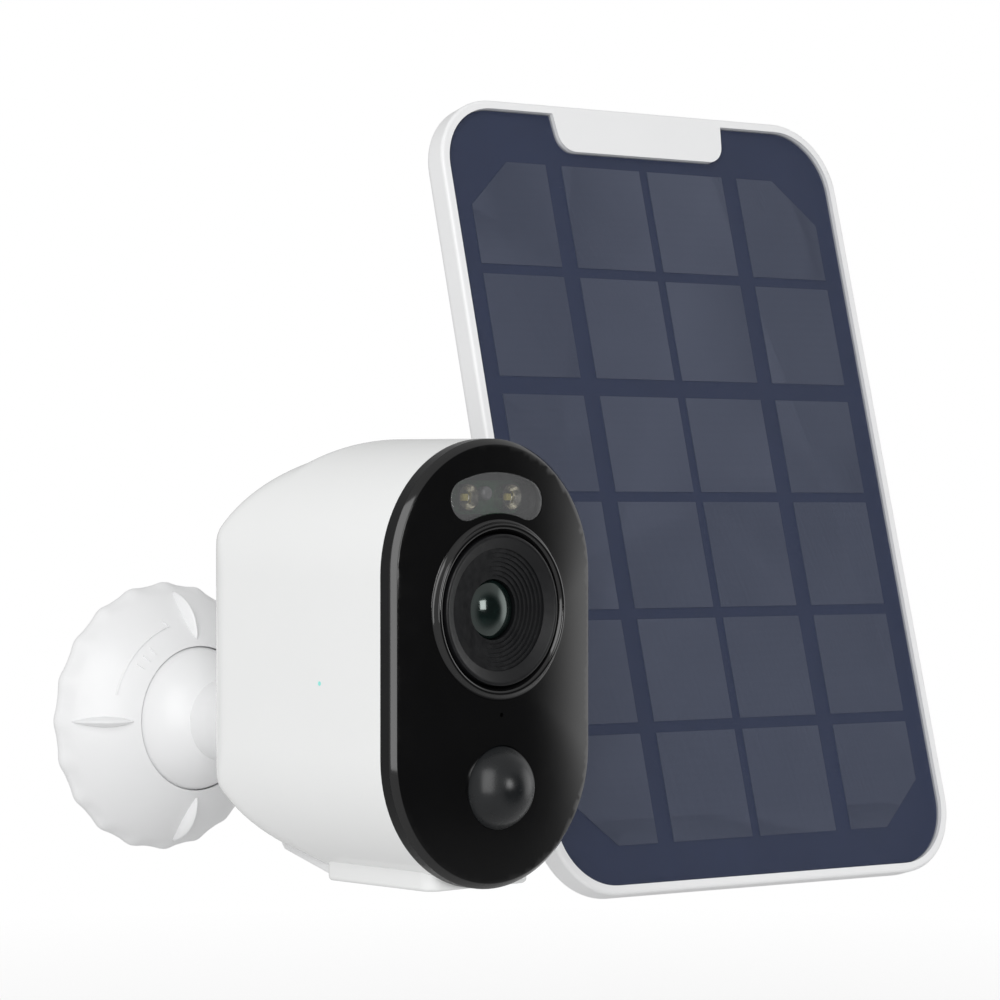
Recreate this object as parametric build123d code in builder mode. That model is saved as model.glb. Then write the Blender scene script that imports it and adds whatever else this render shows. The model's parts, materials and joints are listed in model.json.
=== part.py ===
"""Solar-powered security camera: a battery camera head and a solar panel, each on its own
ball bracket. All sizes are in millimetres.

The wall is the plane Y = 0 and the object stands in front of it, on the -Y side. +Z is up.
The origin is the centre of the camera's wall plate, on its back face.
"""

import os
from math import asin, cos, radians, sin, sqrt

from build123d import *

os.makedirs("parts", exist_ok=True)

# ---------------------------------------------------------------- driving dimensions
FACE_Y = -121.0  # rim of the camera's front face
HEAD_Z = 16.0  # middle of the camera head above the bracket's axis
HEAD_W = 56.0
HEAD_H = 93.0
HEAD_DEPTH = 62.0  # front face to the flat of the back
BACK_R_TOP = 34.0  # big rounding of the back, seen from the side
BACK_R_LOW = 34.0
BACK_R_SIDE = 6.0  # rounding of the back, seen from above
SHELL_WALL = 2.2

PLATE_BACK = 1.3  # depths are measured from the rim of the front face, towards the wall
CARRIER_BACK = 3.9
FACE_CHAMFER = 1.27
FACE_CROWN = 2.15  # how far the middle of the face stands in front of its rim

LENS_Z = 11.2  # heights on the face are measured from the middle of the head
RIM_R = 18.7
BARREL_R = 15.7
CONE_R = 11.5
GLASS_R = 6.15
WINDOW_ARC_R = 24.15
WINDOW_ARC_HALF = 20.9
WINDOW_HEIGHT = 8.5
LAMP_X = 6.05
LAMP_Z = 34.4
LAMP_R = 2.8
PIR_Z = -25.4
PIR_R = 8.7
PIR_HEIGHT = 6.4
MIC_Z = -10.4

POST_X = 18.0
POST_Z = 27.0
POST_R = 2.4
BOARD_SCREW_R = 0.9
BOARD_DEPTH = 17.0
BOARD_T = 1.4

BALL_Y = -16.7
BALL_R = 17.0
RUN_GAP = 0.05  # radial clearance of every running fit
LINER_T = 1.15
NECK_R = 9.0
NECK_END_R = 10.6
RING_R = 30.4
COLLAR_R = 20.2
PLATE_R = 22.5
PLATE_T = 2.7
SCREW_SPACING = 48.0
SCREW_HOLE_R = 2.2
THREAD_R = 3.1  # quarter-inch stud
INSERT_R = 4.6
WASHER_T = 1.2
BODY_GAP = 0.3  # between pieces that move past each other

PANEL_MOUNT_X = 125.3
PANEL_MOUNT_Z = 38.7
PANEL_TILT = 15.2
PANEL_TURN = -4.9
PANEL_LEAN = -0.46
PANEL_STANDOFF = 46.9  # ball centre to the front of the laminate
LAMINATE_W = 120.4
LAMINATE_H = 186.3
LAMINATE_R = 15.1
NOTCH_TOP = 26.8
NOTCH_LOW = 25.5
NOTCH_DEPTH = 9.4
NOTCH_R = 5.0
PANEL_RIM = 2.25
PANEL_LIP = 1.0  # the frame stands this far in front of the laminate
PANEL_DEPTH = 6.2  # laminate face to the back of the frame
HUB_DEPTH = 14.0
HUB_R = 21.0
CELL_COLUMNS = (-42.5, -13.35, 13.35, 42.5)
CELL_W = 24.2
CELL_HEIGHTS = (25.6, 24.9, 23.4, 25.8, 24.4, 25.7)
CELL_GAPS = (2.5, 4.4, 2.5, 2.6, 2.7)
CELL_TOP = 80.5
CELL_CUT_X = 12.4
CELL_CUT_Z = 11.2

# ---------------------------------------------------------------- planes


def face_plane(depth=0.0, x=0.0, z=0.0):
    """A plane parallel to the camera's face, looking out of it, at a depth behind its rim."""
    return Plane(origin=(x, FACE_Y + depth, HEAD_Z + z), x_dir=(1, 0, 0), z_dir=(0, -1, 0))


def turning_plane(x=0.0, z=0.0, y=0.0):
    """A horizontal plane for profiles that are turned about an axis along Y."""
    return Plane(origin=(x, y, z), x_dir=(1, 0, 0), z_dir=(0, 0, 1))


def turning_axis(x=0.0, z=0.0):
    return Axis((x, 0, z), (0, 1, 0))


SIDE_PLANE = Plane(origin=(0, FACE_Y, HEAD_Z), x_dir=(0, 1, 0), z_dir=(1, 0, 0))
LENS_PLANE = turning_plane(0, HEAD_Z + LENS_Z, FACE_Y)
LENS_AXIS = turning_axis(0, HEAD_Z + LENS_Z)
PIR_PLANE = turning_plane(0, HEAD_Z + PIR_Z, FACE_Y)
PIR_AXIS = turning_axis(0, HEAD_Z + PIR_Z)

PANEL_UPRIGHT = Location((0, 0, 0), (0, 0, PANEL_TURN))
PANEL_LEVEL = Plane(PANEL_UPRIGHT * Location((0, 0, 0), (90 - PANEL_TILT, 0, 0)))
PANEL_OUT = PANEL_LEVEL.z_dir
PANEL_RIGHT = PANEL_LEVEL.x_dir.rotate(Axis((0, 0, 0), PANEL_OUT), PANEL_LEAN)
PANEL_BALL = Vector(PANEL_MOUNT_X, BALL_Y, PANEL_MOUNT_Z)
PANEL_CENTRE = PANEL_BALL + PANEL_OUT * PANEL_STANDOFF


def panel_plane(depth=0.0):
    """A plane parallel to the panel's face, looking out of it, at a depth behind the laminate's front."""
    return Plane(origin=PANEL_CENTRE - PANEL_OUT * depth, x_dir=PANEL_RIGHT, z_dir=PANEL_OUT)


# ---------------------------------------------------------------- shared shapes


def head_form(inset, front):
    """The camera head's outer form, moved inwards by inset and starting at depth front."""
    half = HEAD_H / 2 - inset
    back = HEAD_DEPTH - inset
    top_r = BACK_R_TOP - inset
    low_r = BACK_R_LOW - inset
    with BuildPart(mode=Mode.PRIVATE) as form:
        with BuildSketch(face_plane(front)):
            SlotOverall(HEAD_H - 2 * inset, HEAD_W - 2 * inset, rotation=90)
        extrude(amount=front - back)
        with BuildSketch(SIDE_PLANE):
            with BuildLine():
                Line((0, half), (back - top_r, half))
                RadiusArc((back - top_r, half), (back, half - top_r), top_r)
                Line((back, half - top_r), (back, low_r - half))
                RadiusArc((back, low_r - half), (back - low_r, -half), low_r)
                Line((back - low_r, -half), (0, -half))
                Line((0, -half), (0, half))
            make_face()
        extrude(amount=HEAD_W, both=True, mode=Mode.INTERSECT)
        with BuildSketch(Plane.XY.offset(HEAD_Z)):
            with Locations((0, FACE_Y + back / 2 - BACK_R_SIDE)):
                RectangleRounded(HEAD_W - 2 * inset, back + 2 * BACK_R_SIDE, BACK_R_SIDE - inset)
        extrude(amount=HEAD_H, both=True, mode=Mode.INTERSECT)
    return form.part


def cap_arc(radius, rim, height):
    """Half of a round cap's outline in a turning plane, from its rim to its top."""
    sphere = (radius**2 + height**2) / (2 * height)
    centre = rim - height + sphere
    half = asin(radius / sphere) / 2
    ThreePointArc((radius, rim), (sphere * sin(half), centre - sphere * cos(half)), (0, rim - height))


def crowned_face():
    """The black face from its chamfered rim to its crown, with a flat back."""
    inner_w = HEAD_W - 2 * FACE_CHAMFER
    inner_h = HEAD_H - 2 * FACE_CHAMFER
    with BuildPart(mode=Mode.PRIVATE) as face:
        with BuildSketch(face_plane(FACE_CHAMFER)):
            SlotOverall(HEAD_H, HEAD_W, rotation=90)
        with BuildSketch(face_plane(0)):
            SlotOverall(inner_h, inner_w, rotation=90)
        loft(ruled=True)
        with BuildSketch(face_plane(0)):
            SlotOverall(inner_h, inner_w, rotation=90)
        for share in (0.85, 0.68, 0.48, 0.25):
            with BuildSketch(face_plane(-FACE_CROWN * (1 - share**2))):
                SlotOverall(inner_h * share, inner_w * share, rotation=90)
        loft(ruled=True)
    return face.part


def window_outline(grow):
    """The curved lamp window above the lens."""
    start = 90 - WINDOW_ARC_HALF
    middle = Edge.make_circle(WINDOW_ARC_R, Plane((0, LENS_Z, 0)), start, 180 - start)
    return SlotArc(middle, WINDOW_HEIGHT + 2 * grow)


def spigot_outline():
    """The rim behind the carrier that fits inside the shell."""
    outer = 2 * SHELL_WALL + SPIGOT_GAP
    inner = outer + 2 * SPIGOT_WALL
    SlotOverall(HEAD_H - outer, HEAD_W - outer, rotation=90)
    return SlotOverall(HEAD_H - inner, HEAD_W - inner, rotation=90, mode=Mode.SUBTRACT)


# ---------------------------------------------------------------- camera head: face

LENS_LEDGE = 2.0  # how far the carrier reaches inwards behind each front piece
PIR_LEDGE = 1.5
MIC_R = 2.0
MIC_HOLE_R = 0.45
LAMP_OPENING_W = 22.0
LAMP_OPENING_H = 7.0
LAMP_OPENING_R = 3.0
SPIGOT_DEPTH = 3.0
SPIGOT_WALL = 1.6
SPIGOT_GAP = 0.2
SEAL_T = 1.2
CUT_THROUGH = 10.0  # longer than any wall that it cuts
WINDOW_FRONT = 0.55  # in front of the face's rim
REFLECTOR_WALL = 0.3
REFLECTOR_DEPTH = 1.6
REFLECTOR_TAPER = 30
CHIP_SIZE = 1.4
CHIP_T = 0.5
SENSOR_R = 1.5
SENSOR_UP = 0.8  # above the line of the lamps

with BuildPart() as face_plate:
    add(crowned_face())
    with BuildSketch(face_plane(FACE_CHAMFER)):
        window_outline(RUN_GAP)
        with Locations((0, LENS_Z)):
            Circle(RIM_R + RUN_GAP)
        with Locations((0, PIR_Z)):
            Circle(PIR_R + RUN_GAP)
        with Locations((0, MIC_Z)):
            Circle(MIC_HOLE_R)
    extrude(amount=CUT_THROUGH, both=True, mode=Mode.SUBTRACT)
face_plate.part.label = "face_plate"
export_step(face_plate.part, "parts/face_plate.step")

with BuildPart() as face_carrier:
    with BuildSketch(face_plane(PLATE_BACK)):
        SlotOverall(HEAD_H, HEAD_W, rotation=90)
        with Locations((0, LENS_Z)):
            Circle(RIM_R - LENS_LEDGE, mode=Mode.SUBTRACT)
        with Locations((0, PIR_Z)):
            Circle(PIR_R - PIR_LEDGE, mode=Mode.SUBTRACT)
        with Locations((0, MIC_Z)):
            Circle(MIC_R + 0.4, mode=Mode.SUBTRACT)
        with Locations((0, LAMP_Z)):
            RectangleRounded(LAMP_OPENING_W, LAMP_OPENING_H, LAMP_OPENING_R, mode=Mode.SUBTRACT)
    extrude(amount=PLATE_BACK - CARRIER_BACK)
    with BuildSketch(face_plane(CARRIER_BACK)):
        spigot_outline()
    extrude(amount=-SPIGOT_DEPTH)
    with BuildSketch(face_plane(CARRIER_BACK)):
        with GridLocations(2 * POST_X, 2 * POST_Z, 2, 2):
            Circle(POST_R)
            Circle(BOARD_SCREW_R, mode=Mode.SUBTRACT)
    extrude(amount=CARRIER_BACK - BOARD_DEPTH)
face_carrier.part.label = "face_carrier"
export_step(face_carrier.part, "parts/face_carrier.step")

with BuildPart() as face_seal:
    with BuildSketch(face_plane(CARRIER_BACK + SPIGOT_DEPTH)):
        spigot_outline()
    extrude(amount=-SEAL_T)
face_seal.part.label = "face_seal"
export_step(face_seal.part, "parts/face_seal.step")

with BuildPart() as lamp_window:
    with BuildSketch(face_plane(PLATE_BACK)):
        window_outline(0)
    extrude(amount=PLATE_BACK + WINDOW_FRONT)
    fillet(lamp_window.faces().sort_by(Axis.Y)[0].edges(), 0.4)
lamp_window.part.label = "lamp_window"
export_step(lamp_window.part, "parts/lamp_window.step")

with BuildPart() as lamp_reflectors:
    with BuildSketch(face_plane(CARRIER_BACK)):
        with Locations((-LAMP_X, LAMP_Z), (LAMP_X, LAMP_Z)):
            Circle(LAMP_R)
    extrude(amount=CARRIER_BACK - PLATE_BACK)
    with BuildSketch(face_plane(PLATE_BACK)):
        with Locations((-LAMP_X, LAMP_Z), (LAMP_X, LAMP_Z)):
            Circle(LAMP_R - REFLECTOR_WALL)
    extrude(amount=-REFLECTOR_DEPTH, taper=REFLECTOR_TAPER, mode=Mode.SUBTRACT)
lamp_reflectors.part.label = "lamp_reflectors"
export_step(lamp_reflectors.part, "parts/lamp_reflectors.step")

with BuildPart() as lamp_chips:
    with BuildSketch(face_plane(PLATE_BACK + REFLECTOR_DEPTH)):
        with Locations((-LAMP_X, LAMP_Z), (LAMP_X, LAMP_Z)):
            Rectangle(CHIP_SIZE, CHIP_SIZE)
    extrude(amount=CHIP_T)
lamp_chips.part.label = "lamp_chips"
export_step(lamp_chips.part, "parts/lamp_chips.step")

with BuildPart() as light_sensor:
    with BuildSketch(face_plane(CARRIER_BACK)):
        with Locations((0, LAMP_Z + SENSOR_UP)):
            Circle(SENSOR_R)
    extrude(amount=1.9)
    fillet(light_sensor.faces().sort_by(Axis.Y)[0].edges(), 0.7)
light_sensor.part.label = "light_sensor"
export_step(light_sensor.part, "parts/light_sensor.step")

with BuildPart() as lamp_board:
    with BuildSketch(face_plane(CARRIER_BACK)):
        with Locations((0, LAMP_Z)):
            RectangleRounded(24, 9, 2)
    extrude(amount=-1.0)
lamp_board.part.label = "lamp_board"
export_step(lamp_board.part, "parts/lamp_board.step")

with BuildPart() as microphone:
    with BuildSketch(face_plane(PLATE_BACK + 0.1, z=MIC_Z)):
        Circle(MIC_R)
    extrude(amount=-2.2)
microphone.part.label = "microphone"
export_step(microphone.part, "parts/microphone.step")

# ---------------------------------------------------------------- camera head: lens

with BuildPart() as lens_rim:
    with BuildSketch(LENS_PLANE):
        with BuildLine():
            inner_r = BARREL_R + RUN_GAP
            crest = ((16.6, -2.1), (17.25, -2.55), (17.9, -2.2))
            outer = (RIM_R, -0.95)
            Polyline(outer, (RIM_R, PLATE_BACK), (inner_r, PLATE_BACK), (inner_r, -0.6), crest[0])
            ThreePointArc(*crest)
            Line(crest[-1], outer)
        make_face()
    revolve(axis=LENS_AXIS)
lens_rim.part.label = "lens_rim"
export_step(lens_rim.part, "parts/lens_rim.step")

LENS_BACK = 9.0
LENS_TUBE_R = 9.4
STEP_COUNT = 6
STEP_WIDTH = (CONE_R - GLASS_R) / STEP_COUNT
STEP_RISE = 0.3
with BuildPart() as lens_barrel:
    with BuildSketch(LENS_PLANE):
        with BuildLine():
            bore = GLASS_R + 0.02
            steps = [(CONE_R, -1.2)]
            for step in range(STEP_COUNT):
                depth = -0.9 + STEP_RISE * step
                steps.append((CONE_R - STEP_WIDTH * step, depth))
                steps.append((max(CONE_R - STEP_WIDTH * (step + 1), bore), depth))
            Polyline(
                *steps,
                (bore, LENS_BACK),
                (LENS_TUBE_R, LENS_BACK),
                (LENS_TUBE_R, PLATE_BACK + 0.8),
                (BARREL_R, PLATE_BACK + 0.8),
                (BARREL_R, -2.1),
                (BARREL_R - 0.3, -2.4),
                (BARREL_R - 0.6, -2.4),
                close=True,
            )
        make_face()
    revolve(axis=LENS_AXIS)
lens_barrel.part.label = "lens_barrel"
export_step(lens_barrel.part, "parts/lens_barrel.step")

with BuildPart() as front_lens:
    with BuildSketch(LENS_PLANE):
        with BuildLine():
            cap_arc(GLASS_R, 1.9, 1.7)
            Polyline((0, 0.2), (0, 3.2), (GLASS_R, 3.2), (GLASS_R, 1.9))
        make_face()
    revolve(axis=LENS_AXIS)
front_lens.part.label = "front_lens"
export_step(front_lens.part, "parts/front_lens.step")

with BuildPart() as inner_lens:
    with BuildSketch(LENS_PLANE):
        with BuildLine():
            cap_arc(GLASS_R, 5.6, 1.4)
            Polyline((0, 4.2), (0, 7.4), (GLASS_R, 7.4), (GLASS_R, 5.6))
        make_face()
    revolve(axis=LENS_AXIS)
inner_lens.part.label = "inner_lens"
export_step(inner_lens.part, "parts/inner_lens.step")

with BuildPart() as image_sensor:
    with BuildSketch(face_plane(9.3, z=LENS_Z)):
        Rectangle(9, 7)
    extrude(amount=-1.7)
image_sensor.part.label = "image_sensor"
export_step(image_sensor.part, "parts/image_sensor.step")

with BuildPart() as sensor_board:
    with BuildSketch(face_plane(11.0, z=LENS_Z)):
        RectangleRounded(26, 24, 2)
    extrude(amount=-1.2)
sensor_board.part.label = "sensor_board"
export_step(sensor_board.part, "parts/sensor_board.step")

# ---------------------------------------------------------------- camera head: motion sensor

with BuildPart() as motion_dome:
    with BuildSketch(PIR_PLANE):
        with BuildLine():
            cap_arc(PIR_R, -1.4, PIR_HEIGHT)
            Line((0, -1.4 - PIR_HEIGHT), (0, -0.5 - PIR_HEIGHT))
            cap_arc(PIR_R - 0.9, -1.4, PIR_HEIGHT - 0.9)
            Polyline((PIR_R - 0.9, -1.4), (PIR_R - 0.9, PLATE_BACK), (PIR_R, PLATE_BACK), (PIR_R, -1.4))
        make_face()
    revolve(axis=PIR_AXIS)
motion_dome.part.label = "motion_dome"
export_step(motion_dome.part, "parts/motion_dome.step")

with BuildPart() as motion_sensor:
    with BuildSketch(face_plane(5.2, z=PIR_Z)):
        Circle(4.6)
    extrude(amount=4.0)
motion_sensor.part.label = "motion_sensor"
export_step(motion_sensor.part, "parts/motion_sensor.step")

# ---------------------------------------------------------------- camera head: shell

BOSS_R = 9.6
BOSS_Z = -HEAD_Z  # the bracket's axis, measured from the middle of the head
INSERT_LENGTH = 9.5
PORT_HALF = 11.0
PORT_FRONT = 8.4
PORT_BACK = 30.6
PAD_HALF = 14.5
PAD_BACK = 37.0
PAD_LOW = -HEAD_H / 2
STRAP_END = 54.0
STATUS_DEPTH = 22.9
STATUS_Z = -3.9
GRILLE_DEPTH = 40.0
GRILLE_Z = -6.0

with BuildPart() as rear_shell:
    add(head_form(0, CARRIER_BACK))
    with BuildSketch(Plane.XY.offset(HEAD_Z + PAD_LOW)):
        with Locations((0, FACE_Y + (CARRIER_BACK + PAD_BACK) / 2)):
            Rectangle(2 * PAD_HALF, PAD_BACK - CARRIER_BACK)
    extrude(amount=6)
    fillet(rear_shell.faces().sort_by(Axis.Z)[0].edges().group_by(Axis.Y)[-1], 1.2)
    with BuildSketch(face_plane(HEAD_DEPTH, z=BOSS_Z)):
        Circle(BOSS_R)
    extrude(amount=6)
    add(head_form(SHELL_WALL, CARRIER_BACK - 1), mode=Mode.SUBTRACT)
    with BuildSketch(face_plane(HEAD_DEPTH - SHELL_WALL, z=BOSS_Z)):
        Circle(BOSS_R - 1.4)
    extrude(amount=9)
    with BuildSketch(face_plane(HEAD_DEPTH, z=BOSS_Z)):
        Circle(INSERT_R)
    extrude(amount=INSERT_LENGTH, mode=Mode.SUBTRACT)
    with BuildSketch(Plane.XY.offset(HEAD_Z + PAD_LOW - 1)):
        with Locations((0, FACE_Y + (PORT_FRONT + PORT_BACK) / 2)):
            RectangleRounded(2 * PORT_HALF, PORT_BACK - PORT_FRONT, 2)
    extrude(amount=8, mode=Mode.SUBTRACT)
    with BuildSketch(Plane.YZ.offset(HEAD_W / 2 - SHELL_WALL - 1)):
        with Locations((FACE_Y + GRILLE_DEPTH, HEAD_Z + GRILLE_Z)):
            with GridLocations(2.6, 2.6, 5, 3):
                Circle(0.7)
    extrude(amount=SHELL_WALL + 2, mode=Mode.SUBTRACT)
    with BuildSketch(Plane.YZ.offset(-HEAD_W / 2 - 1)):
        with Locations((FACE_Y + STATUS_DEPTH, HEAD_Z + STATUS_Z)):
            Circle(0.5)
    extrude(amount=SHELL_WALL + 2, mode=Mode.SUBTRACT)
rear_shell.part.label = "rear_shell"
export_step(rear_shell.part, "parts/rear_shell.step")

with BuildPart() as status_light:
    with BuildSketch(Plane.YZ.offset(-HEAD_W / 2)):
        with Locations((FACE_Y + STATUS_DEPTH, HEAD_Z + STATUS_Z)):
            Circle(0.48)
    extrude(amount=4)
status_light.part.label = "status_light"
export_step(status_light.part, "parts/status_light.step")

with BuildPart() as rear_insert:
    with BuildSketch(face_plane(HEAD_DEPTH, z=BOSS_Z)):
        Circle(INSERT_R)
        Circle(THREAD_R + RUN_GAP, mode=Mode.SUBTRACT)
    extrude(amount=INSERT_LENGTH)
rear_insert.part.label = "rear_insert"
export_step(rear_insert.part, "parts/rear_insert.step")

with BuildPart() as speaker:
    with BuildSketch(Plane.YZ.offset(HEAD_W / 2 - SHELL_WALL - 4.2)):
        with Locations((FACE_Y + GRILLE_DEPTH, HEAD_Z + GRILLE_Z)):
            RectangleRounded(16, 11, 2)
    extrude(amount=4)
speaker.part.label = "speaker"
export_step(speaker.part, "parts/speaker.step")

with BuildPart() as port_strap:
    with BuildSketch(SIDE_PLANE):
        Polygon(
            (PAD_BACK, -45.6),
            (STRAP_END - 1.2, -41.1),
            (STRAP_END, -39.6),
            (STRAP_END - 6, -36),
            (PAD_BACK, -38),
            align=None,
        )
    extrude(amount=PAD_HALF - 1.5, both=True)
    add(head_form(0, CARRIER_BACK), mode=Mode.SUBTRACT)
port_strap.part.label = "port_strap"
export_step(port_strap.part, "parts/port_strap.step")

# ---------------------------------------------------------------- camera head: port bay

COVER_GAP = 0.4
COVER_T = 1.4
LIP_W = 18.4  # the sealing lip on the cover's inner side
LIP_D = 17.6
LIP_WALL = 1.0
BAY_TOP = -38.6  # underside of the port board
SOCKET_LOW = -42.6
CARD_LOW = -43.0
CHARGE_LOW = -42.8
SWITCH_LOW = -40.4
SWITCH_LID = -39.3
RESET_LOW = -42.3
SLIDER_LOW = -42.2
SWITCH_LID_T = 0.7
with BuildPart() as port_cover:
    with BuildSketch(Plane.XY.offset(HEAD_Z + PAD_LOW)):
        with Locations((0, FACE_Y + (PORT_FRONT + PORT_BACK) / 2)):
            RectangleRounded(2 * (PORT_HALF - COVER_GAP), PORT_BACK - PORT_FRONT - 2 * COVER_GAP, 1.7)
    extrude(amount=COVER_T)
    with BuildSketch(Plane.XY.offset(HEAD_Z + PAD_LOW + COVER_T)):
        with Locations((0, FACE_Y + (PORT_FRONT + PORT_BACK) / 2)):
            RectangleRounded(LIP_W, LIP_D, 1.5)
            RectangleRounded(LIP_W - 2 * LIP_WALL, LIP_D - 2 * LIP_WALL, 0.8, mode=Mode.SUBTRACT)
    extrude(amount=1.4)
port_cover.part.label = "port_cover"
export_step(port_cover.part, "parts/port_cover.step")

SLOT_DEPTH = 24.5  # middle of the memory card
with BuildPart() as port_board:
    with BuildSketch(Plane.XY.offset(HEAD_Z + BAY_TOP)):
        with Locations((0, FACE_Y + 20)):
            RectangleRounded(25, 22, 1)
        with Locations((0, FACE_Y + SLOT_DEPTH)):
            Rectangle(14.2, 3.4, mode=Mode.SUBTRACT)
    extrude(amount=1.2)
port_board.part.label = "port_board"
export_step(port_board.part, "parts/port_board.step")

with BuildPart() as card_socket:
    with BuildSketch(Plane.XY.offset(HEAD_Z + SOCKET_LOW)):
        with Locations((0, FACE_Y + SLOT_DEPTH)):
            Rectangle(14.0, 3.2)
    extrude(amount=16.6)
    with BuildSketch(Plane.XY.offset(HEAD_Z + SOCKET_LOW)):
        with Locations((0, FACE_Y + SLOT_DEPTH)):
            Rectangle(11.2, 1.2)
    extrude(amount=15.6, mode=Mode.SUBTRACT)
card_socket.part.label = "card_socket"
export_step(card_socket.part, "parts/card_socket.step")

with BuildPart() as memory_card:
    with BuildSketch(Plane.XY.offset(HEAD_Z + CARD_LOW)):
        with Locations((0, FACE_Y + SLOT_DEPTH)):
            Rectangle(11.0, 1.0)
    extrude(amount=15.0)
memory_card.part.label = "memory_card"
export_step(memory_card.part, "parts/memory_card.step")

CHARGE_PLACE = (-4.4, FACE_Y + 13.2)
with BuildPart() as charging_socket:
    with BuildSketch(Plane.XY.offset(HEAD_Z + CHARGE_LOW)):
        with Locations(CHARGE_PLACE):
            RectangleRounded(9.0, 3.4, 1.2)
    extrude(amount=BAY_TOP - CHARGE_LOW)
    with BuildSketch(Plane.XY.offset(HEAD_Z + CHARGE_LOW)):
        with Locations(CHARGE_PLACE):
            RectangleRounded(8.2, 2.6, 0.9)
    extrude(amount=3.4, mode=Mode.SUBTRACT)
    with BuildSketch(Plane.XY.offset(HEAD_Z + CHARGE_LOW + 0.6)):
        with Locations(CHARGE_PLACE):
            Rectangle(6.4, 0.7)
    extrude(amount=3.0)
charging_socket.part.label = "charging_socket"
export_step(charging_socket.part, "parts/charging_socket.step")

RESET_PLACE = (6.0, FACE_Y + 13.2)
RESET_SIZE = 4.4
BUTTON_R = 1.55
BUTTON_LENGTH = 2.4
with BuildPart() as reset_switch:
    with BuildSketch(Plane.XY.offset(HEAD_Z + SWITCH_LOW)):
        with Locations(RESET_PLACE):
            Rectangle(RESET_SIZE, RESET_SIZE)
            Circle(BUTTON_R + RUN_GAP, mode=Mode.SUBTRACT)
    extrude(amount=SWITCH_LID - SWITCH_LOW)
    with BuildSketch(Plane.XY.offset(HEAD_Z + SWITCH_LID)):
        with Locations(RESET_PLACE):
            Rectangle(RESET_SIZE, RESET_SIZE)
    extrude(amount=SWITCH_LID_T)
reset_switch.part.label = "reset_switch"
export_step(reset_switch.part, "parts/reset_switch.step")

with BuildPart() as reset_button:
    with BuildSketch(Plane.XY.offset(HEAD_Z + RESET_LOW)):
        with Locations(RESET_PLACE):
            Circle(BUTTON_R)
    extrude(amount=BUTTON_LENGTH)
reset_button.part.label = "reset_button"
export_step(reset_button.part, "parts/reset_button.step")

POWER_PLACE = (0, FACE_Y + 18.6)
POWER_TRAVEL = 2.0
POWER_W = 8.6
POWER_D = 3.6
SLIDER_W = 2.0
SLIDER_D = 1.6
SLIDER_LENGTH = 2.6
with BuildPart() as power_switch:
    with BuildSketch(Plane.XY.offset(HEAD_Z + SWITCH_LOW)):
        with Locations(POWER_PLACE):
            Rectangle(POWER_W, POWER_D)
            Rectangle(SLIDER_W + POWER_TRAVEL + 0.4, SLIDER_D + 2 * RUN_GAP, mode=Mode.SUBTRACT)
    extrude(amount=SWITCH_LID - SWITCH_LOW)
    with BuildSketch(Plane.XY.offset(HEAD_Z + SWITCH_LID)):
        with Locations(POWER_PLACE):
            Rectangle(POWER_W, POWER_D)
    extrude(amount=SWITCH_LID_T)
power_switch.part.label = "power_switch"
export_step(power_switch.part, "parts/power_switch.step")

with BuildPart() as power_slider:
    with BuildSketch(Plane.XY.offset(HEAD_Z + SLIDER_LOW)):
        with Locations((POWER_PLACE[0] - POWER_TRAVEL / 2, POWER_PLACE[1])):
            Rectangle(SLIDER_W, SLIDER_D)
    extrude(amount=SLIDER_LENGTH)
power_slider.part.label = "power_slider"
export_step(power_slider.part, "parts/power_slider.step")

# ---------------------------------------------------------------- camera head: inside

BOARD_W = 41.0
BOARD_H = 60.0
CAN_SIZE = 22.0
CAN_T = 2.4
SCREW_HEAD_R = 1.8
SCREW_HEAD_T = 1.3
SCREW_LENGTH = 7.0
with BuildPart() as main_board:
    with BuildSketch(face_plane(BOARD_DEPTH)):
        RectangleRounded(BOARD_W, BOARD_H, 3)
        with GridLocations(2 * POST_X, 2 * POST_Z, 2, 2):
            Circle(BOARD_SCREW_R + 0.1, mode=Mode.SUBTRACT)
    extrude(amount=-BOARD_T)
main_board.part.label = "main_board"
export_step(main_board.part, "parts/main_board.step")

with BuildPart() as shield_can:
    with BuildSketch(face_plane(BOARD_DEPTH + BOARD_T, z=6)):
        RectangleRounded(CAN_SIZE, CAN_SIZE, 1)
    extrude(amount=-CAN_T)
shield_can.part.label = "shield_can"
export_step(shield_can.part, "parts/shield_can.step")

with BuildPart() as board_screws:
    with BuildSketch(face_plane(BOARD_DEPTH + BOARD_T)):
        with GridLocations(2 * POST_X, 2 * POST_Z, 2, 2):
            Circle(SCREW_HEAD_R)
    extrude(amount=-SCREW_HEAD_T)
    with BuildSketch(face_plane(BOARD_DEPTH + BOARD_T)):
        with GridLocations(2 * POST_X, 2 * POST_Z, 2, 2):
            Circle(BOARD_SCREW_R)
    extrude(amount=SCREW_LENGTH)
board_screws.part.label = "board_screws"
export_step(board_screws.part, "parts/board_screws.step")

CELL_R = 9.1
CELL_LENGTH = 65.0
CELL_DEPTH = 41.0
CELL_X = 9.6
HOLDER_W = 38.0
HOLDER_H = 68.0
HOLDER_T = 1.4
END_W = 30.0
END_T = 1.5
END_DEPTH = 12.0
with BuildPart() as battery_cells:
    with BuildSketch(Plane.XY.offset(HEAD_Z - CELL_LENGTH / 2)):
        with Locations((-CELL_X, FACE_Y + CELL_DEPTH), (CELL_X, FACE_Y + CELL_DEPTH)):
            Circle(CELL_R)
    extrude(amount=CELL_LENGTH)
battery_cells.part.label = "battery_cells"
export_step(battery_cells.part, "parts/battery_cells.step")

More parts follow.
